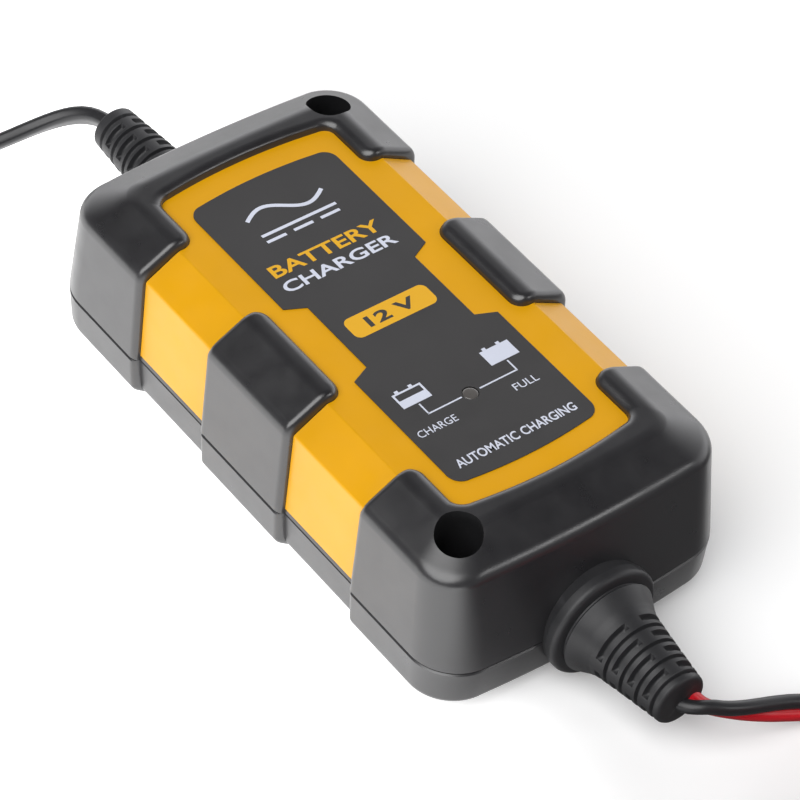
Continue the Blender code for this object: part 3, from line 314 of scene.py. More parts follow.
def from_rings(name, rings, *materials, helper=False, loop=False):
    """A closed body through rings of equal size; the first and last are capped unless they join in a loop."""
    rings = [np.asarray(r, float) for r in rings]
    count = len(rings[0])
    faces = []
    for a in range(len(rings) if loop else len(rings) - 1):
        b = (a + 1) % len(rings)
        for i in range(count):
            j = (i + 1) % count
            faces.append((a * count + i, a * count + j, b * count + j, b * count + i))
    if not loop:
        faces.append(tuple(reversed(range(count))))
        faces.append(tuple(range((len(rings) - 1) * count, len(rings) * count)))
    return from_arrays(name, np.concatenate(rings), faces, *materials, helper=helper)


def applied(obj):
    """The object's modifiers made part of its mesh."""
    graph = bpy.context.evaluated_depsgraph_get()
    mesh = bpy.data.meshes.new_from_object(obj.evaluated_get(graph))
    obj.modifiers.clear()
    obj.data = mesh
    return obj


def cleaned(obj, flat=0.25):
    """The mesh without doubled points, slivers or needless edges across its flat faces."""
    with edited(obj.data) as made:
        bmesh.ops.remove_doubles(made, verts=made.verts, dist=1.5e-6)
        bmesh.ops.dissolve_degenerate(made, dist=1.5e-6, edges=made.edges)
        if flat:
            bmesh.ops.dissolve_limit(
                made, angle_limit=math.radians(flat), verts=made.verts, edges=made.edges, delimit={"MATERIAL"}
            )
    return obj


def boolean(obj, cutter, operation="DIFFERENCE"):
    step = obj.modifiers.new(operation.lower(), "BOOLEAN")
    step.operation = operation
    step.object = cutter
    step.solver = "EXACT"


def bevelled(obj, width, segments=3, degrees=30.0):
    step = obj.modifiers.new("edges", "BEVEL")
    step.width = width
    step.segments = segments
    step.limit_method = "ANGLE"
    step.angle_limit = math.radians(degrees)
    return obj


def circle(radius, steps):
    angles = 2 * math.pi * np.arange(steps) / steps
    return np.stack([radius * np.cos(angles), radius * np.sin(angles)], 1)


def cylinder(name, centre, radius, low, high, axis="Z", steps=64):
    """A cutter in mm, along an axis. centre is in the plane of the other two axes."""
    place = {"X": lambda u, v, w: (w, u, v), "Y": lambda u, v, w: (u, w, v), "Z": lambda u, v, w: (u, v, w)}[axis]
    rings = []
    for level in (low, high):
        rings.append([place(centre[0] * MM + u, centre[1] * MM + v, level * MM) for u, v in circle(radius * MM, steps)])
    return from_rings(name, rings, helper=True)


def turned(name, profile, centre, direction, *materials, steps=64, helper=False):
    """A profile of (radius, distance) turned about a line through centre along direction (a unit axis)."""
    direction = Vector(direction)
    across = direction.orthogonal().normalized()
    other = direction.cross(across)
    rings = []
    for radius, distance in profile:
        base = Vector(centre) + direction * distance
        rings.append([tuple(base + across * u + other * v) for u, v in circle(max(radius, 1e-6), steps)])
    return from_rings(name, rings, *materials, helper=helper)


def filleted(points, radii, steps):
    """A 2-D open or closed line's corners turned into arcs; the ends of an open line have radius 0."""
    points = [np.array(p, float) for p in points]
    made = []
    for i, (corner, radius) in enumerate(zip(points, radii)):
        if radius <= 0:
            made.append(corner)
            continue
        before = points[i - 1] - corner
        after = points[(i + 1) % len(points)] - corner
        before /= np.linalg.norm(before)
        after /= np.linalg.norm(after)
        half = math.acos(np.clip(before @ after, -1, 1)) / 2
        reach = radius / math.tan(half)
        middle = before + after
        centre = corner + middle / np.linalg.norm(middle) * radius / math.sin(half)
        start, end = corner + before * reach - centre, corner + after * reach - centre
        sweep = math.pi - 2 * half
        for k in range(steps + 1):
            t = k / steps
            made.append(centre + (start * math.sin((1 - t) * sweep) + end * math.sin(t * sweep)) / math.sin(sweep))
    return made


def extruded(name, outline, low, high, *materials, helper=False):
    """A flat-ended body in mm, with the outline as its plan."""
    rings = [[(x * MM, y * MM, z * MM) for x, y in outline] for z in (low, high)]
    return from_rings(name, rings, *materials, helper=helper)


def smooth_line(points, spacing):
    """Points about spacing apart on a smooth curve through the given ones."""
    route = [np.array(p, float) for p in points]
    route = [2 * route[0] - route[1], *route, 2 * route[-1] - route[-2]]
    made = []
    for a, b, c, d in zip(route, route[1:], route[2:], route[3:]):
        lengths = [max(np.linalg.norm(q - p), 1e-9) ** 0.5 for p, q in ((a, b), (b, c), (c, d))]
        t0, t1 = 0.0, lengths[0]
        t2, t3 = t1 + lengths[1], t1 + lengths[1] + lengths[2]
        count = max(1, round(np.linalg.norm(c - b) / spacing))
        for k in range(count):
            t = t1 + (t2 - t1) * k / count
            p1 = ((t1 - t) * a + (t - t0) * b) / (t1 - t0)
            p2 = ((t2 - t) * b + (t - t1) * c) / (t2 - t1)
            p3 = ((t3 - t) * c + (t - t2) * d) / (t3 - t2)
            q1 = ((t2 - t) * p1 + (t - t0) * p2) / (t2 - t0)
            q2 = ((t3 - t) * p2 + (t - t1) * p3) / (t3 - t1)
            made.append(((t2 - t) * q1 + (t - t1) * q2) / (t2 - t1))
    return np.array([*made, route[-2]])


def evened(points, passes):
    points = points.copy()
    for _ in range(passes):
        points[1:-1] = 0.25 * points[:-2] + 0.5 * points[1:-1] + 0.25 * points[2:]
    return points


def distances(points):
    return np.concatenate([[0.0], np.cumsum(np.linalg.norm(np.diff(points, axis=0), axis=1))])


def swept(name, path, section, turns, *materials, materials_at=None):
    """section (n, 2) carried along path. turns is each point's angle, from the path's right side up to +Z."""
    path = np.asarray(path)
    tangent = np.gradient(path, axis=0)
    tangent /= np.linalg.norm(tangent, axis=1)[:, None]
    right = np.cross(tangent, (0.0, 0.0, 1.0))
    right /= np.linalg.norm(right, axis=1)[:, None]
    up = np.cross(right, tangent)
    cos, sin = np.cos(turns)[:, None], np.sin(turns)[:, None]
    wide, thin = right * cos + up * sin, up * cos - right * sin
    section = np.asarray(section)
    rings = path[:, None] + wide[:, None] * section[None, :, :1] + thin[:, None] * section[None, :, 1:]
    obj = from_rings(name, list(rings), *materials)
    if materials_at is not None:
        count = len(section)
        for polygon in obj.data.polygons:
            if len(polygon.vertices) == 4:
                side = min(v % count for v in polygon.vertices)
                polygon.material_index = int(materials_at[side])
    return shade(obj, 60)


def place_piece(obj, body, slot, *nodes):
    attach(obj, body)
    if nodes:
        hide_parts(*nodes)
    return obj


# ---- free cords

AXIS_Z = 0.0122
MAINS_ROUTE = (
    (-0.0916, 0.0, 0.0122), (-0.0952, -0.0003, 0.0119), (-0.0990, -0.0018, 0.0108), (-0.1026, -0.0056, 0.0088),
    (-0.1051, -0.0110, 0.0066), (-0.1070, -0.0170, 0.0046), (-0.1092, -0.0232, 0.0030), (-0.1140, -0.0290, 0.0024),
    (-0.1220, -0.0325, 0.0024), (-0.1330, -0.0338, 0.0026), (-0.1480, -0.0336, 0.0031), (-0.1620, -0.0335, 0.0036),
    (-0.1716, -0.0335, 0.0038),
)
PLUG_TAIL_ROUTE = (
    (-0.1718, 0.0335, 0.0094), (-0.1670, 0.0335, 0.0098), (-0.1600, 0.0326, 0.0108), (-0.1520, 0.0280, 0.0126),
    (-0.1475, 0.0205, 0.0149), (-0.1465, 0.0130, 0.0167), (-0.1490, 0.0060, 0.0181), (-0.1550, 0.0014, 0.0191),
    (-0.1620, 0.0001, 0.0196), (-0.1667, 0.0, 0.0197),
)
CLAMP_LEAD_ROUTE = (
    (0.0843, 0.0, 0.0122), (0.0876, 0.0006, 0.0119), (0.0906, 0.0026, 0.0110), (0.0930, 0.0064, 0.0096),
    (0.0948, 0.0115, 0.0078), (0.0963, 0.0170, 0.0060), (0.0978, 0.0222, 0.0044), (0.1004, 0.0272, 0.0032),
    (0.1050, 0.0312, 0.0028), (0.1120, 0.0334, 0.0030), (0.1220, 0.0340, 0.0033), (0.1340, 0.0337, 0.0036),
    (0.1436, 0.0335, 0.0038),
)
CLAMP_LEAD_END = ((0.1436, -0.0335, 0.0094), (0.1400, -0.0335, 0.0096), (0.1360, -0.0335, 0.0100))
BLACK_TAIL_ROUTE = (
    (0.1355, -0.0321, 0.0101), (0.1325, -0.0315, 0.0106), (0.1288, -0.0284, 0.0122), (0.1262, -0.0226, 0.0144),
    (0.1256, -0.0160, 0.0162), (0.1272, -0.0096, 0.0178), (0.1304, -0.0053, 0.0188), (0.1334, -0.0038, 0.0192),
    (0.1356, -0.0035, 0.0193),
)
RED_TAIL_ROUTE = (
    (0.1355, -0.0349, 0.0101), (0.1312, -0.0348, 0.0104), (0.1256, -0.0318, 0.0116), (0.1220, -0.0245, 0.0138),
    (0.1212, -0.0152, 0.0158), (0.1226, -0.0066, 0.0176), (0.1262, -0.0002, 0.0188), (0.1308, 0.0030, 0.0193),
    (0.1356, 0.0035, 0.0193),
)
COIL_TURNS = 7.5
COIL_RADIUS, COIL_SWING = 0.0280, 0.0055
COIL_LOW, COIL_HIGH = 0.0038, 0.0094
CLIMB = 0.4


def eased(value):
    value = np.clip(value, 0.0, 1.0)
    return value * value * (3 - 2 * value)


def coil_points(centre, start_degrees, per_turn=40):
    """Clockwise turns in two layers: inwards on the lower, up, and outwards on the upper."""
    made = []
    level = (COIL_TURNS - CLIMB) / 2
    for k in range(int(COIL_TURNS * per_turn) + 1):
        turn = k / per_turn
        share = min(turn / level, 1.0) if turn < level + CLIMB / 2 else 1 - max((turn - level - CLIMB) / level, 0.0)
        rise = eased((turn - level) / CLIMB)
        radius = COIL_RADIUS + COIL_SWING * (1 - 2 * share)
        angle = math.radians(start_degrees) - 2 * math.pi * turn
        z = COIL_LOW + (COIL_HIGH - COIL_LOW) * rise
        made.append((centre[0] + radius * math.cos(angle), centre[1] + radius * math.sin(angle), z))
    return made


def joined(*parts, spacing=0.0022):
    points = []
    for part in parts:
        for p in part:
            if not points or np.linalg.norm(np.array(points[-1]) - p) > 0.0012:
                points.append(tuple(p))
    return evened(smooth_line(points, spacing), 4)


def refined(path, reach):
    """The path with points four times as close over its first stretch."""
    count = int(np.searchsorted(distances(path), reach))
    return np.concatenate([smooth_line(path[: count + 1], 0.0006)[:-1], path[count:]])


def flat_section(half_wide, half_thin, steps=28):
    """Two cores side by side in one sheath: round sides and slightly hollow faces."""
    angles = 2 * math.pi * (np.arange(steps) + 0.5) / steps
    x = half_wide * np.sign(np.cos(angles)) * np.abs(np.cos(angles)) ** 0.75
    y = half_thin * np.sign(np.sin(angles)) * np.abs(np.sin(angles)) ** 0.62
    return np.stack([x, y * (1 - 0.06 * np.exp(-((x / (0.4 * half_wide)) ** 2)))], 1)


def twin_section(radius, steps=18):
    """Two round cores joined side by side, from the right core's waist round to it again."""
    waist = math.radians(24)
    right = [waist + (2 * math.pi - 2 * waist) * k / (steps - 1) for k in range(steps)]
    half = [(radius - radius * math.cos(a), radius * math.sin(a)) for a in right]
    return np.array(half[::-1] + [(-x, y) for x, y in half])


cord_mains_path = joined(MAINS_ROUTE, coil_points((-0.1880, 0.0), -90.0), PLUG_TAIL_ROUTE)
along = distances(cord_mains_path)
mains_turns = np.radians(
    122 + 8 * eased(along / 0.026) - 72 * eased((along - 0.027) / 0.011) + 32 * eased((along - 0.050) / 0.02)
    - 90 * eased((along - along[-1] + 0.055) / 0.045)
)
cord_mains = swept("cord_mains", cord_mains_path, flat_section(0.0026, 0.0016), mains_turns, CORD_BLACK)
place_piece(cord_mains, "charger", "soft_pvc", "mains_cord", "mains_coil", "mains_cord_tail")

clamp_path = refined(joined(CLAMP_LEAD_ROUTE, coil_points((0.1600, 0.0), 90.0), CLAMP_LEAD_END), 0.022)
along = distances(clamp_path)
clamp_turns = np.radians(
    140 + 90 * eased((along - 0.002) / 0.008) + 50 * eased((along - 0.009) / 0.018)
    + 170 * eased((along - 0.029) / 0.05) + 90 * eased((along - along[-1] + 0.03) / 0.028)
)
section = twin_section(0.0014, 26)
red_side = section[:, 0] > 0
cord_clamp = swept("cord_clamp", clamp_path, section, clamp_turns, CORD_BLACK, CORD_RED, materials_at=red_side)
place_piece(cord_clamp, "charger", "soft_pvc", "clamp_lead", "clamp_coil", "clamp_lead_end")

for colour, route, material in (("red", RED_TAIL_ROUTE, CORD_RED), ("black", BLACK_TAIL_ROUTE, CORD_BLACK)):
    inside = [(0.1400, route[-1][1], route[-1][2])]
    path = joined(route, inside, spacing=0.0012)
    tail = swept(f"tail_{colour}", path, circle(0.00135, 20), np.zeros(len(path)), material)
    place_piece(tail, "charger", f"{colour}_pvc", f"{colour}_tail")

# ---- housing, all in mm

COLUMN_STEPS = (-2.2, -1.1, -0.3, -0.03, 0.03, 0.10, 0.25, 0.46, 0.72, 1.02, 1.36, 1.7, 2.05, 2.4, 2.8, 3.3)
BAY_INNER, BAY_OUTER = 12.9, 34.4
FIELD_LENGTH, FIELD_WIDTH, FIELD_CORNER, FIELD_BOW = 48.95, 20.0, 2.8, 1.45
IN_BAY, IN_ARM = 23.6, 41.0  # where the nearest black piece changes from grip to bumper arm, and from arm to end
STEP_RADIUS = 1.35
WALL = 0.28  # the share of a step's height that is its upright wall
CROWN_Z, PANEL_Z, SINK = 37.6, 35.75, 0.42
TOP_FOOT, BASE_TOP = 11.62, 11.38
WELLS = ((51.8, -23.5), (-51.8, 23.5))
SCREWS = ((51.8, 23.5), (-51.8, -23.5), (0.0, 23.2), (0.0, -23.2))
WELL_RADIUS, TUBE_RADIUS, FIXING_RADIUS, SEAT_RADIUS = 4.4, 5.8, 2.25, 3.2
LENS, LENS_BORE = (25.2, -0.5), 2.1
LEAD_AXIS, LEAD_BORE = (0.0, AXIS_Z / MM), 6.3
SCREW_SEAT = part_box("housing_screw_1")[0].z / MM + 2.2


def side_columns():
    """Places along a long side, close together at the grips' and bumpers' steps."""
    places = {0.0, 4.0, 8.0, 17.0, 20.5, 24.0, 27.5, 30.5, 40.0}
    places |= {BAY_INNER - s for s in COLUMN_STEPS} | {BAY_OUTER + s for s in COLUMN_STEPS}
    return sorted({round(x, 3) for x in places} | {-round(x, 3) for x in places})


SIDE_COLUMNS = side_columns()
CORNER_STEPS = END_STEPS = 16
NEAR_CORNER = (0.25, 0.5, 0.75)


def ring(half_x, half_y, radius, bow, z_end, z_side=None):
    """One outline, anticlockwise from the +X, -Y corner. Heights may differ between ends and sides."""
    points = []
    z_side = z_end if z_side is None else z_side
    limit = SIDE_COLUMNS[-1]

    def side(sy):
        start = half_x - bow - radius
        outer = [limit + (start - limit) * s for s in NEAR_CORNER]
        row = [-x for x in reversed(outer)] + list(SIDE_COLUMNS) + outer
        return [(x, sy * half_y, z_side) for x in (row if sy < 0 else reversed(row))]

    for sx, sy, first in ((1, -1, -90), (1, 1, 0), (-1, 1, 90), (-1, -1, 180)):
        cx, cy = sx * (half_x - bow - radius), sy * (half_y - radius)
        for k in range(CORNER_STEPS + 1):
            angle = math.radians(first + 90 * k / CORNER_STEPS)
            share = math.cos(angle) ** 2
            z = z_end * share + z_side * (1 - share)
            points.append((cx + radius * math.cos(angle), cy + radius * math.sin(angle), z))
        if first in (-90, 90):
            for k in range(1, END_STEPS):
                t = 2 * k / END_STEPS - 1
                points.append((sx * (half_x - bow + bow * (1 - t * t)), -cy * t, z_end))
        else:
            points += side(sy)
    return np.array(points)


def depth_in_black(x, y):
    """Distance in plan from the panel's edge into a grip or bumper, negative over the panel."""
    ax, ay, r = np.abs(x), np.abs(y), FIELD_CORNER

    def rounded(qx, qy):
        return np.hypot(np.maximum(qx, 0), np.maximum(qy, 0)) + np.minimum(np.maximum(qx, qy), 0) - r

    grip = -rounded(ax - (BAY_INNER - r), FIELD_WIDTH + r - ay)
    arm = -rounded(BAY_OUTER + r - ax, FIELD_WIDTH + r - ay)
    bow = FIELD_BOW * np.minimum((y / (FIELD_WIDTH - r)) ** 2, 1.0)
    end = rounded(ax + bow - (FIELD_LENGTH - r), ay - (FIELD_WIDTH - r))
    return np.where(ax < IN_BAY, grip, np.where(ax < IN_ARM, arm, end))


def bay_depth(ax):
    return np.where(ax < IN_BAY, BAY_INNER - ax, ax - BAY_OUTER)


def step_share(depth, wall, x, y):
    """0 over the panel, then a wall, then a rounded edge up to 1, broader along the panel than at the bays."""
    ax, beside = np.abs(x), np.abs(y) - FIELD_WIDTH
    broad = np.clip(0.5 + np.minimum(bay_depth(ax) - beside, FIELD_LENGTH - 2.0 - ax) / 3, 0.0, 1.0)
    t = np.clip(depth / (STEP_RADIUS + 0.95 * broad), 0.0, 1.0)
    wall = wall + (0.3 if wall else 0.0) * np.clip((ax - FIELD_LENGTH + 4.5) / 3, 0.0, 1.0)
    return np.where(depth <= 0, 0.0, wall + (1 - wall) * np.sqrt(1 - (1 - t) ** 2))


def stepped(upper, lower, depth_at, wall):
    """Rings between two matched surfaces, on the outer one where there is a grip or bumper."""
    rings = []
    for high, low in zip(upper, lower):
        x, y = high[:, 0], high[:, 1]
        rings.append(low + step_share(depth_at(x, y), wall, x, y)[:, None] * (high - low))
    return rings


def spread(line, counts):
    """The line's spans divided evenly, counts pieces to each."""
    made = []
    for a, b, n in zip(line, line[1:], counts):
        made += [a + (b - a) * k / n for k in range(n)]
    return [*made, line[-1]]


def surface_rings(line_end, line_side, radii, fillet_radii, counts, steps, bows):
    """Rings from an end profile and a side profile (distance, z), with the corner radius and bow at each bend."""
    ends, sides = filleted(line_end, fillet_radii, steps), filleted(line_side, fillet_radii, steps)
    bends = []
    for i, r in enumerate(fillet_radii):
        bends += [(radii[i], bows[i])] * (steps + 1 if r > 0 else 1)
    spans = []
    for a, b, n in zip(fillet_radii, fillet_radii[1:], counts):
        if a > 0:
            spans += [1] * steps
        spans.append(n)
    if fillet_radii[-1] > 0:
        spans += [1] * steps
    ends, sides = spread(ends, spans), spread(sides, spans)
    bends = spread([np.array(b) for b in bends], spans)
    return [ring(e[0], s[0], b[0], b[1], e[1], s[1]) for e, s, b in zip(ends, sides, bends)]


FLAT_STEPS = [3.8, 3.5, 3.2, 2.9, 2.6, 2.3, 2.0, 1.75, 1.36, 1.02, 0.72, 0.46, 0.25, 0.10, 0.03, -0.03, -0.4, -1.2]


def flat_rings(z):
    """Nested outlines on the flat top, close together at the panel's edge."""
    made = []
    for s in FLAT_STEPS:
        bow = FIELD_BOW - (FIELD_BOW - 0.45) * min(max(s / 3, 0), 1)
        made.append(ring(FIELD_LENGTH + 0.75 * s, FIELD_WIDTH + s, FIELD_CORNER + 0.35 * s, bow, z))
    return made


def panel_half_width(z, inset):
    """The panel's half width at a height, up to its flat's edge."""
    (y0, z0), (y1, z1), (y2, z2) = (32.0, 11.5), (31.04, 31.6), (23.7, PANEL_Z)
    if z < z1:
        return y0 + (y1 - y0) * (z - z0) / (z1 - z0) - inset
    return y1 + (y2 - y1) * (min(z, z2) - z1) / (z2 - z1) - inset


def sunk(upper):
    """The surface behind the panel that matches a ring of the outer surface."""
    made = upper.copy()
    x, y, z = upper.T
    height = z - np.where(z > 31.0, (z - 31.0) / 6.6, 0.0) * (CROWN_Z - PANEL_Z + SINK)
    for i, h in enumerate(height):
        half = panel_half_width(h + SINK * min(max((z[i] - 30) / 4, 0), 1), 0.0 if z[i] < 12.6 else SINK)
        if abs(y[i]) > half:
            made[i, 1] = math.copysign(half, y[i])
        made[i, 0] = x[i] - math.copysign(1.5 * min(max((abs(x[i]) - 45) / 8, 0), 1), x[i])
        made[i, 2] = h
    return made


def finished_shell(shell, node_name, *cutters):
    reach = 75.0
    for cutter in (cylinder("lead_bore", LEAD_AXIS, LEAD_BORE, -reach, reach, axis="X"), *cutters):
        boolean(shell, cutter)
    cleaned(applied(shell), 0)
    # Painted shade: on the top shell the last material is the near-black well shadow, given to the wells' insides.
    for polygon in shell.data.polygons:
        centre = polygon.center / MM
        if centre.z < 33 and min(math.hypot(centre.x - x, centre.y - y) for x, y in WELLS) < WELL_RADIUS + 0.05:
            polygon.material_index = len(shell.data.materials) - 1
    place_piece(levelled(shade(shell, 40)), "charger", "black_plastic", node_name)


def make_top_shell():
    upper = surface_rings(
        [(64.2, TOP_FOOT), (64.45, TOP_FOOT + 0.3), (61.0, 33.2), (52.6, CROWN_Z)],
        [(33.2, TOP_FOOT), (33.48, TOP_FOOT + 0.3), (32.5, 33.2), (24.1, CROWN_Z)],
        (9.8, 10.0, 8.6, 4.3), (0, 0, 3.4, 0), (1, 9, 4), 7, (1.0, 1.0, 0.8, 0.4),
    )
    rings = [r for r in upper[:-1] if r[len(r) // 2][2] < 36.4 and r[:, 2].max() < 36.5]
    # The crown's bend is an arc between the slope and the flat top.
    bend_end, bend_side = (
        filleted([(a + 3.4, 35.82), (a, CROWN_Z), (b, CROWN_Z)], (0, 5.0, 0), 6)[1:-1]
        for a, b in ((52.6, 48.0), (24.1, 20.0))
    )
    rings += [ring(e[0], s[0], 4.6 - 0.1 * k, 0.4, e[1], s[1]) for k, (e, s) in enumerate(zip(bend_end, bend_side))]
    narrowest = min(r[:, 1].max() for r in rings)
    rings += [r for r in flat_rings(CROWN_Z) if r[:, 1].max() < narrowest - 0.1]
    inner = [ring(48.0, 22.0, 3.0, 0.0, 32.0), ring(58.3, 27.4, 5.0, 0.6, 29.8), ring(61.5, 28.4, 5.5, 0.8, TOP_FOOT)]
    rings = inner + stepped(rings, [sunk(r) for r in rings], depth_in_black, WALL)
    shell = from_rings("shell_top", [r * MM for r in rings], BLACK, WELL_SHADE)
    for i, place in enumerate(WELLS, 1):
        boolean(shell, cylinder(f"tube_{i}", place, TUBE_RADIUS, TOP_FOOT, 33.0), "UNION")
    for i, (x, y) in enumerate(WELLS, 1):
        profile = [(WELL_RADIUS * MM, z * MM) for z in (9, 50)]
        boolean(shell, turned(f"well_{i}", profile, (x * MM, y * MM, 0), (0, 0, 1), helper=True, steps=72))
    finished_shell(shell, "top_shell", cylinder("window_bore", LENS, LENS_BORE, 25, 50))


def make_base_shell():
    end = [(64.2, BASE_TOP), (64.47, BASE_TOP - 0.3), (63.75, 3.3), (59.6, 0.0), (50.0, 0.0)]
    side = [(33.2, BASE_TOP), (33.48, BASE_TOP - 0.3), (33.1, 3.3), (29.0, 0.0), (20.0, 0.0)]
    args = ((9.8, 10.0, 9.4, 6.2, 4.0), (0, 0, 2.2, 1.2, 0), (1, 5, 3, 2), 6, (1.0, 1.0, 1.0, 0.5, 0.0))
    upper = surface_rings(end, side, *args)
    lower = surface_rings(*([(a - 1.5, z) for a, z in line[:-1]] + line[-1:] for line in (end, side)), *args)
    rings = [ring(52.0, 21.5, 4.0, 0.0, 2.2), ring(60.0, 27.8, 5.0, 0.6, 6.0), ring(61.5, 28.4, 5.5, 0.8, BASE_TOP)]
    rings += stepped(upper, lower, lambda x, y: bay_depth(np.abs(x)), 0.0)
    shell = from_rings("shell_base", [r * MM for r in rings], BLACK)
    for i, place in enumerate(WELLS, 1):
        boolean(shell, cylinder(f"post_{i}", place, TUBE_RADIUS, 1.0, BASE_TOP), "UNION")
        boolean(shell, cylinder(f"post_bore_{i}", place, FIXING_RADIUS, -5, 20, steps=40))
    for i, place in enumerate(SCREWS, 1):
        boolean(shell, cylinder(f"screw_seat_{i}", place, SEAT_RADIUS, -5, SCREW_SEAT, steps=40))
    finished_shell(shell, "base_shell")


def bowed(outline, end, bow):
    """The outline with its straight ends, at +end and -end in x, curved outwards by bow."""
    made = []
    for (x0, y0), (x1, y1) in zip(outline, outline[1:] + outline[:1]):
        made.append((x0, y0))
        if abs(abs(x0) - end) < 1e-3 and abs(x0 - x1) < 1e-3 and abs(y0 - y1) > 5:
            for k in range(1, 12):
                t = k / 6 - 1
                made.append((x0 + math.copysign(bow * (1 - t * t), x0), y0 + (y1 - y0) * k / 12))
    return made


def field_outline(shrink):
    x1, x2, x3 = BAY_INNER + shrink, BAY_OUTER - shrink, FIELD_LENGTH - FIELD_BOW - shrink
    y1, y2 = FIELD_WIDTH - shrink, 40.0
    inner, outer = FIELD_CORNER + shrink, FIELD_CORNER - shrink
    side = [(x3, y1), (x2, y1), (x2, y2), (x1, y2), (x1, y1)]
    half = side + [(-x, y) for x, y in reversed(side)]
    corners = half + [(-x, -y) for x, y in half]
    radii = [outer, inner, 0, 0, inner, inner, 0, 0, inner, outer]
    return bowed([(float(x), float(y)) for x, y in filleted(corners, radii * 2, 12)], x3, FIELD_BOW)


def panel_solid(name, inset, floor, *materials, helper=False):
    """The panel's outer surface moved in by inset, down to floor, as one body."""
    end = [(64.0 - inset, floor), (62.0 - inset, 31.6 - inset / 2), (54.5, PANEL_Z - inset), (53.0, PANEL_Z - inset)]
    side = [(32.0 - inset, floor), (31.04 - inset, 31.6 - inset / 2)]
    side += [(23.7 - inset / 2, PANEL_Z - inset), (22.2, PANEL_Z - inset)]
    rings = surface_rings(end, side, (8.5, 7.5, 4.0, 3.8), (0, 0.9, 0.8, 0), (6, 4, 1), 5, (1.0, 0.8, 0.5, 0.5))
    return from_rings(name, [r * MM for r in rings], *materials, helper=helper)


def make_panel():
    panel = panel_solid("panel", 0.0, 12.68, YELLOW)
    boolean(panel, extruded("panel_plan", field_outline(0.09), 5, 60, helper=True), "INTERSECT")
    boolean(panel, panel_solid("panel_back", 0.38, 5.0, helper=True))
    boolean(panel, cylinder("panel_bore", LENS, LENS_BORE, 25, 50))
    cleaned(applied(panel), 0)
    bevelled(panel, 0.10 * MM, 2, 50.0)
    cleaned(applied(panel), 0)
    place_piece(levelled(shade(panel, 20)), "charger", "yellow_plastic", "face_panel")


make_top_shell()
make_base_shell()
make_panel()

# ---- label and window

LABEL_TOP = 36.0
PRINT_LOW, PRINT_HIGH = (LABEL_TOP - 0.05) * MM, LABEL_TOP * MM


def make_label():
    wide, waist, end, bow = 16.5, 12.4, 42.1, 0.9
    side = [(-10.9, wide), (-8.9, waist), (9.5, waist), (11.3, wide)]
    corners = [(-end, wide), *side, (end, wide), (end, -wide)]
    corners += [(x, -y) for x, y in reversed(side)] + [(-end, -wide)]
    radii = [3.0, 0.15, 0.15, 0.15, 0.15, 3.0] * 2
    outline = bowed([(float(x), float(y)) for x, y in filleted(corners, radii, 8)], end, bow)
    film = extruded("film", outline, 35.77, LABEL_TOP - 0.02, LABEL)
    boolean(film, cylinder("film_bore", LENS, 1.62, 25, 50))
    cleaned(applied(film))
    bevelled(film, 0.05 * MM, 2, 50.0)
    place_piece(shade(applied(film), 12), "charger", "label_film", "face_label")
    profile = [(0.0, 17.0), (1.5, 17.0), (1.5, 35.80), (1.38, 35.92), (1.0, 35.97), (0.5, 35.99), (0.0, 36.0)]
    place = (LENS[0] * MM, LENS[1] * MM, 0)
    window = turned("window", [(r * MM, z * MM) for r, z in profile], place, (0, 0, 1), WINDOW, steps=48)
    place_piece(shade(window, 40), "charger", "clear_lens", "indicator_lens")


def printed(name, outlines, material):
    """Flat ink shapes a hair above the film, from closed outlines in mm."""
    points, faces = [], []
    for outline in outlines:
        base, n = len(points), len(outline)
        points += [(x * MM, y * MM, z) for z in (PRINT_LOW, PRINT_HIGH) for x, y in outline]
        faces += [tuple(base + i for i in reversed(range(n))), tuple(base + n + i for i in range(n))]
        faces += [(base + i, base + (i + 1) % n, base + n + (i + 1) % n, base + n + i) for i in range(n)]
    return place_piece(from_arrays(name, points, faces, material), "charger", "label_film")


def bar(x0, y0, x1, y1):
    return [(x0, y0), (x1, y0), (x1, y1), (x0, y1)]


def stroke(points, width):
    """A line of even width through points, as one outline."""
    pts = np.array(points, float)
    tangent = np.gradient(pts, axis=0)
    tangent /= np.linalg.norm(tangent, axis=1)[:, None]
    side = np.stack([-tangent[:, 1], tangent[:, 0]], 1) * width / 2
    return [tuple(p) for p in pts + side] + [tuple(p) for p in (pts - side)[::-1]]


def words(name, text, centre, height, width, material, low=PRINT_LOW, high=PRINT_HIGH, weight=0.0):
    """A word that reads along +Y with its top towards -X, fitted to a height and a width in mm."""
    curve = bpy.data.curves.new(name, "FONT")
    curve.body = text
    curve.size = 1.0
    curve.offset = weight
    curve.extrude = 0.5
    curve.resolution_u = 4
    obj = bpy.data.objects.new(name, curve)
    PIECES.objects.link(obj)
    graph = bpy.context.evaluated_depsgraph_get()
    mesh = bpy.data.meshes.new_from_object(obj.evaluated_get(graph))
    bpy.data.objects.remove(obj)
    co = np.empty(len(mesh.vertices) * 3)
    mesh.vertices.foreach_get("co", co)
    co = co.reshape(-1, 3)
    lo, hi = co.min(0), co.max(0)
    u = (co[:, 0] - (lo[0] + hi[0]) / 2) * width / (hi[0] - lo[0])
    v = (co[:, 1] - (lo[1] + hi[1]) / 2) * height / (hi[1] - lo[1])
    z = np.where(co[:, 2] > 0, high, low)
    placed = np.stack([(centre[0] - v) * MM, (centre[1] + u) * MM, z], 1)
    mesh.vertices.foreach_set("co", placed.reshape(-1))
    with edited(mesh) as made:
        bmesh.ops.remove_doubles(made, verts=made.verts, dist=1e-7)
        bmesh.ops.recalc_face_normals(made, faces=made.faces)
    mesh.materials.clear()
    return place_piece(add(name, mesh, material), "charger", "label_film")


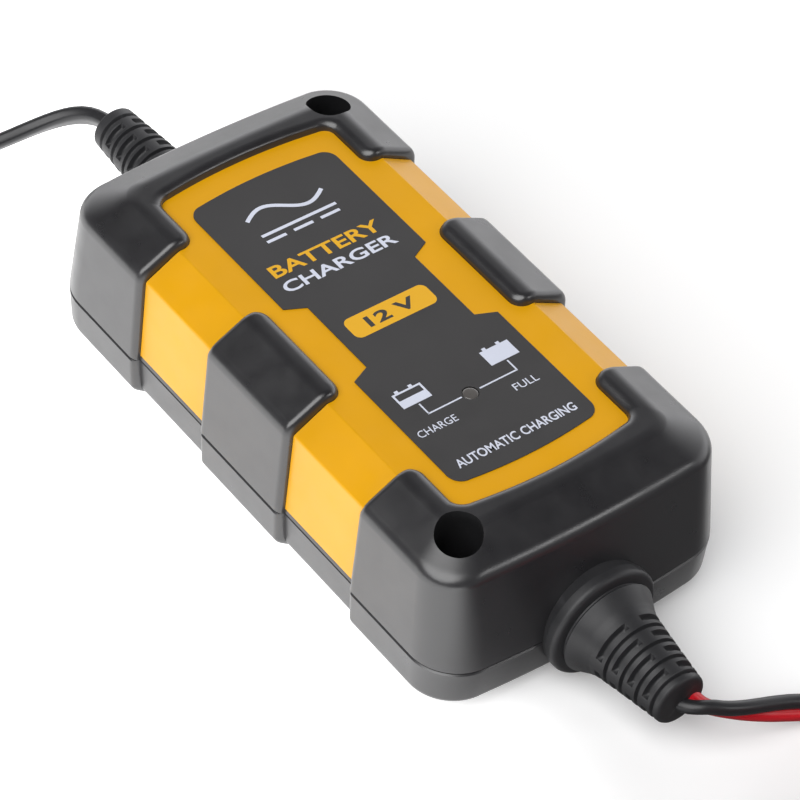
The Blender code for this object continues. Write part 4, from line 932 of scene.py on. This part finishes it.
def battery_icon(x0, y0, x1, y1, filled):
    """A battery seen from the side: a case, and two terminals on its -X edge."""
    edge = 0.42
    shapes = [bar(x0 - 0.6, y0 + 0.9, x0 + 0.02, y0 + 1.7), bar(x0 - 0.6, y1 - 2.4, x0 + 0.02, y1 - 1.6)]
    if filled:
        return [*shapes, bar(x0, y0, x1, y1)]
    shapes += [bar(x0, y0, x0 + edge, y1), bar(x1 - edge, y0, x1, y1)]
    shapes += [bar(x0 + edge, y0, x1 - edge, y0 + edge), bar(x0 + edge, y1 - edge, x1 - edge, y1)]
    return [*shapes, bar((x0 + x1) / 2, y0 + edge, x1 - edge, y1 - edge)]


def make_prints():
    wave = [(-33.6 - 1.9 * math.sin(2 * math.pi * t / 24), -8.6 + 17.2 * t / 24) for t in range(25)]
    shapes = [stroke(wave, 0.85), bar(-29.2, -8.6, -28.5, 8.6)]
    shapes += [bar(-27.4, -8.6 + 6.2 * k, -26.7, -4.2 + 6.2 * k) for k in range(3)]
    shapes += battery_icon(18.0, -13.1, 21.9, -6.7, False) + battery_icon(18.0, 6.95, 21.9, 13.4, True)
    line = 0.32
    shapes += [stroke([(22.3, -10.0), (25.2, -10.0)], line), bar(25.04, -10.16, 25.36, -2.5)]
    shapes += [bar(25.04, 1.6, 25.36, 10.3), stroke([(22.3, 10.2), (25.1, 10.2)], line)]
    printed("print_white", shapes, INK_WHITE)
    words("print_word_2", "CHARGER", (-15.2, -0.4), 2.9, 25.6, INK_WHITE, weight=0.02)
    words("print_word_1", "BATTERY", (-19.8, -0.4), 3.2, 25.0, INK_YELLOW, weight=0.02)
    words("print_charge", "CHARGE", (28.6, -10.6), 1.7, 8.6, INK_WHITE)
    words("print_full", "FULL", (28.6, 9.6), 1.7, 5.4, INK_WHITE)
    words("print_line", "AUTOMATIC CHARGING", (38.1, 0.0), 2.1, 27.0, INK_WHITE, weight=0.015)
    pill = filleted([(-2.45, -9.5), (3.1, -9.5), (3.1, 9.3), (-2.45, 9.3)], (1.5, 1.5, 1.5, 1.5), 8)
    printed("print_pill", [pill], INK_YELLOW)
    words("print_volts", "12 V", (0.35, -0.1), 2.9, 11.0, LABEL, low=PRINT_HIGH - 0.01 * MM,
          high=PRINT_HIGH + 0.012 * MM, weight=0.03)


make_label()
make_prints()

# ---- strain reliefs, ties and plug


def relief(name, node_name, stations, end, bands, slots):
    """A turned sleeve in mm along x with ring grooves, and short rounded slots between them."""
    steps, depth = 120, 0.85
    angles = 2 * math.pi * np.arange(steps) / steps
    quarter = (angles * 4 / (2 * math.pi)) % 1.0
    mask = eased((0.37 - np.abs(quarter - 0.5)) / 0.05)
    rings = []
    for radius, x, grooved in stations:
        r = np.full(steps, float(radius))
        for grooves, share in ((bands, 1.0), (slots, 1.35 * mask)) if grooved else ():
            for centre, half in grooves:
                r -= depth * share * max(0.0, 1 - (abs(x - centre) / half) ** 4)
        rings.append([(end * x * MM, v * MM * math.cos(a), AXIS_Z + v * MM * math.sin(a)) for v, a in zip(r, angles)])
    place_piece(shade(from_rings(name, rings, RUBBER), 50), "charger", "soft_pvc", node_name)


def tapered(start, tip, wide, narrow, count, power=1.0):
    """Stations of the grooved length, from one radius to another."""
    shares = [k / count for k in range(count + 1)]
    return [(wide + (narrow - wide) * t**power, start + (tip - start) * t, 1) for t in shares]


def plain(*pairs):
    return [(radius, x, 0) for radius, x in pairs]


def make_reliefs():
    rim = filleted([(11.0, 62.2), (11.9, 64.9), (11.95, 67.3), (9.6, 67.6), (9.55, 67.95)], (0, 0.4, 1.15, 0.1, 0), 6)
    cone = filleted([(9.9, 68.1), (10.1, 68.4), (8.3, 71.6), (7.3, 74.4)], (0, 0.2, 6.0, 0), 6)
    neck = plain((0.05, 59.2), (7.6, 59.2), (7.6, 61.2), (6.0, 61.25))
    stations = neck + plain((6.0, 62.2), (10.8, 62.2), *rim, *(p for p in cone if p[1] < 72.55))
    stations += tapered(72.6, 88.4, 7.85, 5.45, 150, 0.9)
    stations += plain((5.38, 88.55), (5.2, 88.8), (4.9, 88.95), (4.4, 89.05), (3.0, 89.1), (0.05, 89.12))
    bands, slots = [(76.3 + 3.67 * k, 0.40) for k in range(4)], [(74.45 + 3.68 * k, 0.66) for k in range(4)]
    relief("relief_clamp", "clamp_strain_relief", stations, 1, bands, slots)
    stations = neck + plain((6.0, 62.4), (6.7, 62.5), (6.9, 65.6), (6.75, 66.6), (6.7, 67.0))
    stations += tapered(67.4, 90.8, 6.55, 4.85, 180)
    stations += plain((4.75, 91.0), (4.5, 91.2), (4.0, 91.3), (2.6, 91.33), (0.05, 91.35))
    bands, slots = [(70.7 + 4.4 * k, 0.45) for k in range(5)], [(68.7 + 4.32 * k, 0.80) for k in range(5)]
    relief("relief_mains", "mains_strain_relief", stations, -1, bands, slots)


def shrunk(points, amount):
    points = np.array(points)
    middle = points.mean(0)
    away = points - middle
    length = np.linalg.norm(away, axis=1)[:, None]
    return middle + away * (1 - amount / length)


def make_strap(name, node_name):
    """A strap round a coil's bundle: a rounded band of even thickness."""
    low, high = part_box(node_name)
    loops = []
    for inset, radius in ((0.0, 0.0030), (0.00075, 0.0023)):
        x0, x1, z0, z1 = low.x + inset, high.x - inset, low.z + inset, high.z - inset
        loops.append(filleted([(x0, z0), (x1, z0), (x1, z1), (x0, z1)], (radius,) * 4, 8))
    outer, inner = loops
    half, rounding = 0.0040, 0.0002
    level = half - rounding
    places = [(-half, rounding), (-level, 0.0), (-0.0013, 0.0), (0.0013, 0.0), (level, 0.0), (half, rounding)]
    rings = [[(x, y, z) for x, z in shrunk(outer, pinch)] for y, pinch in places]
    rings += [[(x, y, z) for x, z in shrunk(inner, -pinch)] for y, pinch in reversed(places)]
    place_piece(shade(from_rings(name, rings, STRAP, loop=True), 40), "charger", "strap", node_name)


def superellipse(half_y, half_z, power, steps=56):
    angles = 2 * math.pi * np.arange(steps) / steps
    c, s = np.cos(angles), np.sin(angles)
    return np.stack(
        [half_y * np.sign(c) * np.abs(c) ** (2 / power), half_z * np.sign(s) * np.abs(s) ** (2 / power)], 1
    )


PLUG_REAR, PLUG_FRONT, PLUG_Z, PIN_Y = -167.0, -195.5, 19.7, 9.5  # mm


def make_plug():
    """The flat plug: a ribbed tail, a body that widens to its face, two grip panels, and two sleeved pins."""
    stations = [(0.0, 2.9, 2.8, 2.0), (0.12, 3.4, 3.2, 2.0)]  # distance from the rear, half sizes, squareness
    for k in range(25):
        t = k / 24
        ripple = 0.42 * max(0.0, math.cos(2 * math.pi * 5 * t)) ** 0.7 * (t < 0.99)
        stations.append((0.3 + 13.2 * t, 3.7 + 1.9 * t - ripple, 3.5 + 1.3 * t - ripple, 2.0 + 0.3 * t))
    corners = [(5.8, 13.5), (8.6, 16.8), (15.6, 24.4), (17.4, 37.8), (17.3, 40.0), (14.0, 40.0)]
    for wide, x in filleted(corners, (0, 4.0, 7.0, 5.0, 1.3, 0), 8):
        t = min(max((x - 13.5) / 12, 0), 1)
        thick = 4.9 + 2.0 * eased(t) - 0.9 * (max(x - 38.6, 0.0) / 1.4) ** 2
        stations.append((float(x), float(wide), float(thick), 2.3 + 0.9 * t))
    rings = []
    for x, half_y, half_z, power in stations:
        outline = superellipse(half_y, half_z, power)
        rings.append([((PLUG_REAR - x) * MM, y * MM, (PLUG_Z + z) * MM) for y, z in outline])
    plug = from_rings("plug_body", rings, RUBBER)
    for side in (-1, 1):
        for k in range(4):
            place = (PLUG_REAR - 26.5 - 2.6 * k, PLUG_Z + side * 7.35)
            boolean(plug, cylinder(f"plug_groove_{side}_{k}", place, 0.75, -9, 9, axis="Y", steps=20))
        boolean(plug, cylinder(f"plug_seat_{side}", (side * PIN_Y, PLUG_Z), 2.15, -220, PLUG_FRONT, axis="X"))
    pieces = [place_piece(shade(applied(plug), 40), "charger", "soft_pvc", "mains_plug_body")]
    sleeve = [(0.0, 0.0), (1.7, 0.0), (1.9, 0.2), (2.0, 0.8), (2.0, 12.0), (1.55, 12.1), (0.0, 12.2)]
    metal = [(0.0, 11.0), (1.9, 11.0), (1.98, 12.2), (2.0, 12.4), (2.0, 28.2), (1.75, 29.5), (1.2, 30.3), (0.0, 30.5)]
    for number, side in enumerate((-1, 1), 1):
        place = (PLUG_FRONT * MM, side * PIN_Y * MM, PLUG_Z * MM)
        for kind, profile, material in (("sleeve", sleeve, RUBBER), ("pin", metal, BRASS)):
            profile = [(r * MM, d * MM) for r, d in profile]
            piece = shade(turned(f"plug_{kind}_{number}", profile, place, (-1, 0, 0), material, steps=40), 30)
            if kind == "pin":
                place_piece(piece, "charger", "nickel_brass", f"mains_plug_pin_{number}")
            else:
                place_piece(piece, "charger", "soft_pvc")
            pieces.append(piece)
    return pieces


make_reliefs()
make_strap("strap_mains", "mains_coil_tie")
make_strap("strap_clamp", "clamp_coil_tie")
plug_pieces = make_plug()

# ---- clamps


def softened(name, node_name, material, body, slot, width, segments):
    """A CAD node's shape with its edges rounded."""
    source = frame["nodes"][node_name]
    mesh = source.data.copy()
    with edited(mesh) as made:
        bmesh.ops.transform(made, matrix=source.matrix_world, verts=made.verts)
        bmesh.ops.remove_doubles(made, verts=made.verts, dist=2e-6)
        bmesh.ops.dissolve_limit(made, angle_limit=math.radians(1.0), verts=made.verts, edges=made.edges)
    mesh.materials.clear()
    obj = applied(bevelled(add(name, mesh, material), width, segments, 35.0))
    return place_piece(shade(obj, 40), body, slot, node_name)


def make_spring(colour, side):
    """A torsion spring round the pin, with one leg in the fixed handle and the other in the moving one."""
    low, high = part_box(f"{colour}_clamp_pin")
    pivot = np.array((low + high) / 2)
    low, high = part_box(f"{colour}_clamp_spring")
    wire, radius, steps, turns, rise = 0.0005, 0.0027, 24, 4.5, 0.0012
    fixed, moving = (pivot[1] - low.y - wire, high.y - pivot[1] - wire)[::side]
    reach, foot = pivot[0] - low.x, -turns * rise / 2

    def leg(end, z):
        sign = math.copysign(1, z)
        return [(-reach, sign * end), (-0.0140, sign * 0.5 * (end + 0.0060)), (-0.0080, sign * 0.0058)]

    points = [(x, y, foot) for x, y in (*leg(fixed, foot), (-0.0040, -0.0041))]
    for k in range(int(turns * steps) + 1):
        angle = 2 * math.pi * k / steps - math.pi / 2
        points.append((radius * math.cos(angle), radius * math.sin(angle), foot + rise * k / steps))
    points += [(x, y, -foot) for x, y in ((-0.0040, 0.0041), *reversed(leg(moving, -foot)))]
    path = np.array([(x, side * y, z) for x, y, z in points]) + pivot
    spring = swept(f"{colour}_spring", path, circle(wire, 12), np.zeros(len(path)), STEEL)
    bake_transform(spring)
    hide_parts(f"{colour}_clamp_spring")


for colour, grip_material, side in (("red", GRIP_RED, 1), ("black", RUBBER, -1)):
    clamp = f"{colour}_clamp"
    for part, body in (("fixed", "charger"), ("moving", f"{clamp}_lever")):
        softened(f"{colour}_{part}_jaw", f"{clamp}_{part}_half", STEEL, body, "clamp_steel", 0.22 * MM, 2)
        grip = softened(
            f"{colour}_{part}_sleeve", f"{clamp}_{part}_grip", grip_material, body, f"{colour}_pvc", 0.7 * MM, 3
        )
    softened(f"{colour}_rivet", f"{clamp}_pin", STEEL, "charger", "clamp_steel", 0.2 * MM, 2)
    make_spring(colour, side)

# ---- carried-over nodes

for obj in frame["nodes"].values():
    for holder in obj.material_slots:
        key = holder.material.name.split(".")[0] if holder.material else ""
        if key in CARRIED:
            holder.material = CARRIED[key]

# ---- floor


def make_floor():
    """Pale paper that glows a little, as painted light, more on the long side that faces the camera.

    The black end wall mirrors something dark. So beyond the clamp end, for every ray but the camera's, the paper turns
    into a near-black sheet that throws little light back at the object: painted shade, as if a dark card stood over it,
    though it looks as pale as the rest.
    """
    ground = finish("paper", (0.90, 0.90, 0.90), 0.85, spread=0.006, patches=4.0, grain=900.0, strength=0.03)
    tree = ground.node_tree
    paper = tree.nodes["Principled BSDF"]
    # Painted light: the paper emits light, stronger towards -Y, though no lamp lies under it.
    paper.inputs["Emission Color"].default_value = (1.0, 1.0, 1.0, 1.0)
    place = node(tree, "TexCoord").outputs["Object"]
    slope = node(tree, "VectorMath", {0: place, 1: (-0.3, -1.0, 0.0)}, operation="DOT_PRODUCT").outputs["Value"]
    painted_glow = ranged(tree, slope, -0.02, 0.035, 0.12, 1.08, "SMOOTHSTEP")
    tree.links.new(painted_glow, paper.inputs["Emission Strength"])
    # Painted shade: beyond the clamp end, rays other than the camera's meet a near-black sheet instead of the paper.
    along_x = node(tree, "SeparateXYZ", {"Vector": place}).outputs["X"]
    painted_shade_share = ranged(tree, along_x, 0.058, 0.072, 0.0, 0.85, "SMOOTHSTEP")
    seen = node(tree, "LightPath").outputs["Is Camera Ray"]
    bounced = node(tree, "Math", {0: 1.0, 1: seen}, operation="SUBTRACT").outputs["Value"]
    for share in (ranged(tree, slope, -0.02, 0.03, 1.0, 0.0, "SMOOTHSTEP"), bounced):
        painted_shade_share = node(tree, "Math", {0: painted_shade_share, 1: share}, operation="MULTIPLY").outputs["Value"]
    painted_shade_sheet = node(tree, "BsdfDiffuse", {"Color": (0.02, 0.02, 0.021, 1.0)})
    both = node(tree, "MixShader", {"Fac": painted_shade_share, 1: paper.outputs["BSDF"], 2: painted_shade_sheet.outputs["BSDF"]})
    tree.links.new(both.outputs["Shader"], tree.nodes["Material Output"].inputs["Surface"])
    mesh = bpy.data.meshes.new("floor")
    reach, level = 4.0, -0.0003
    corners = [(x * reach, y * reach, level) for x, y in ((-1, -1), (1, -1), (1, 1), (-1, 1))]
    mesh.from_pydata(corners, [], [(0, 1, 2, 3)])
    mesh.materials.append(ground)
    floor = bpy.data.objects.new("floor", mesh)
    bpy.context.scene.collection.objects.link(floor)


make_floor()

# ---- the clamp lead's split sleeve, and the cutters removed


split = swept("split_sleeve", clamp_path[-5:], flat_section(0.0031, 0.00175), clamp_turns[-5:], STRAP)
place_piece(split, "charger", "soft_pvc")

for helper in list(CUTTERS.objects):
    bpy.data.objects.remove(helper, do_unlink=True)
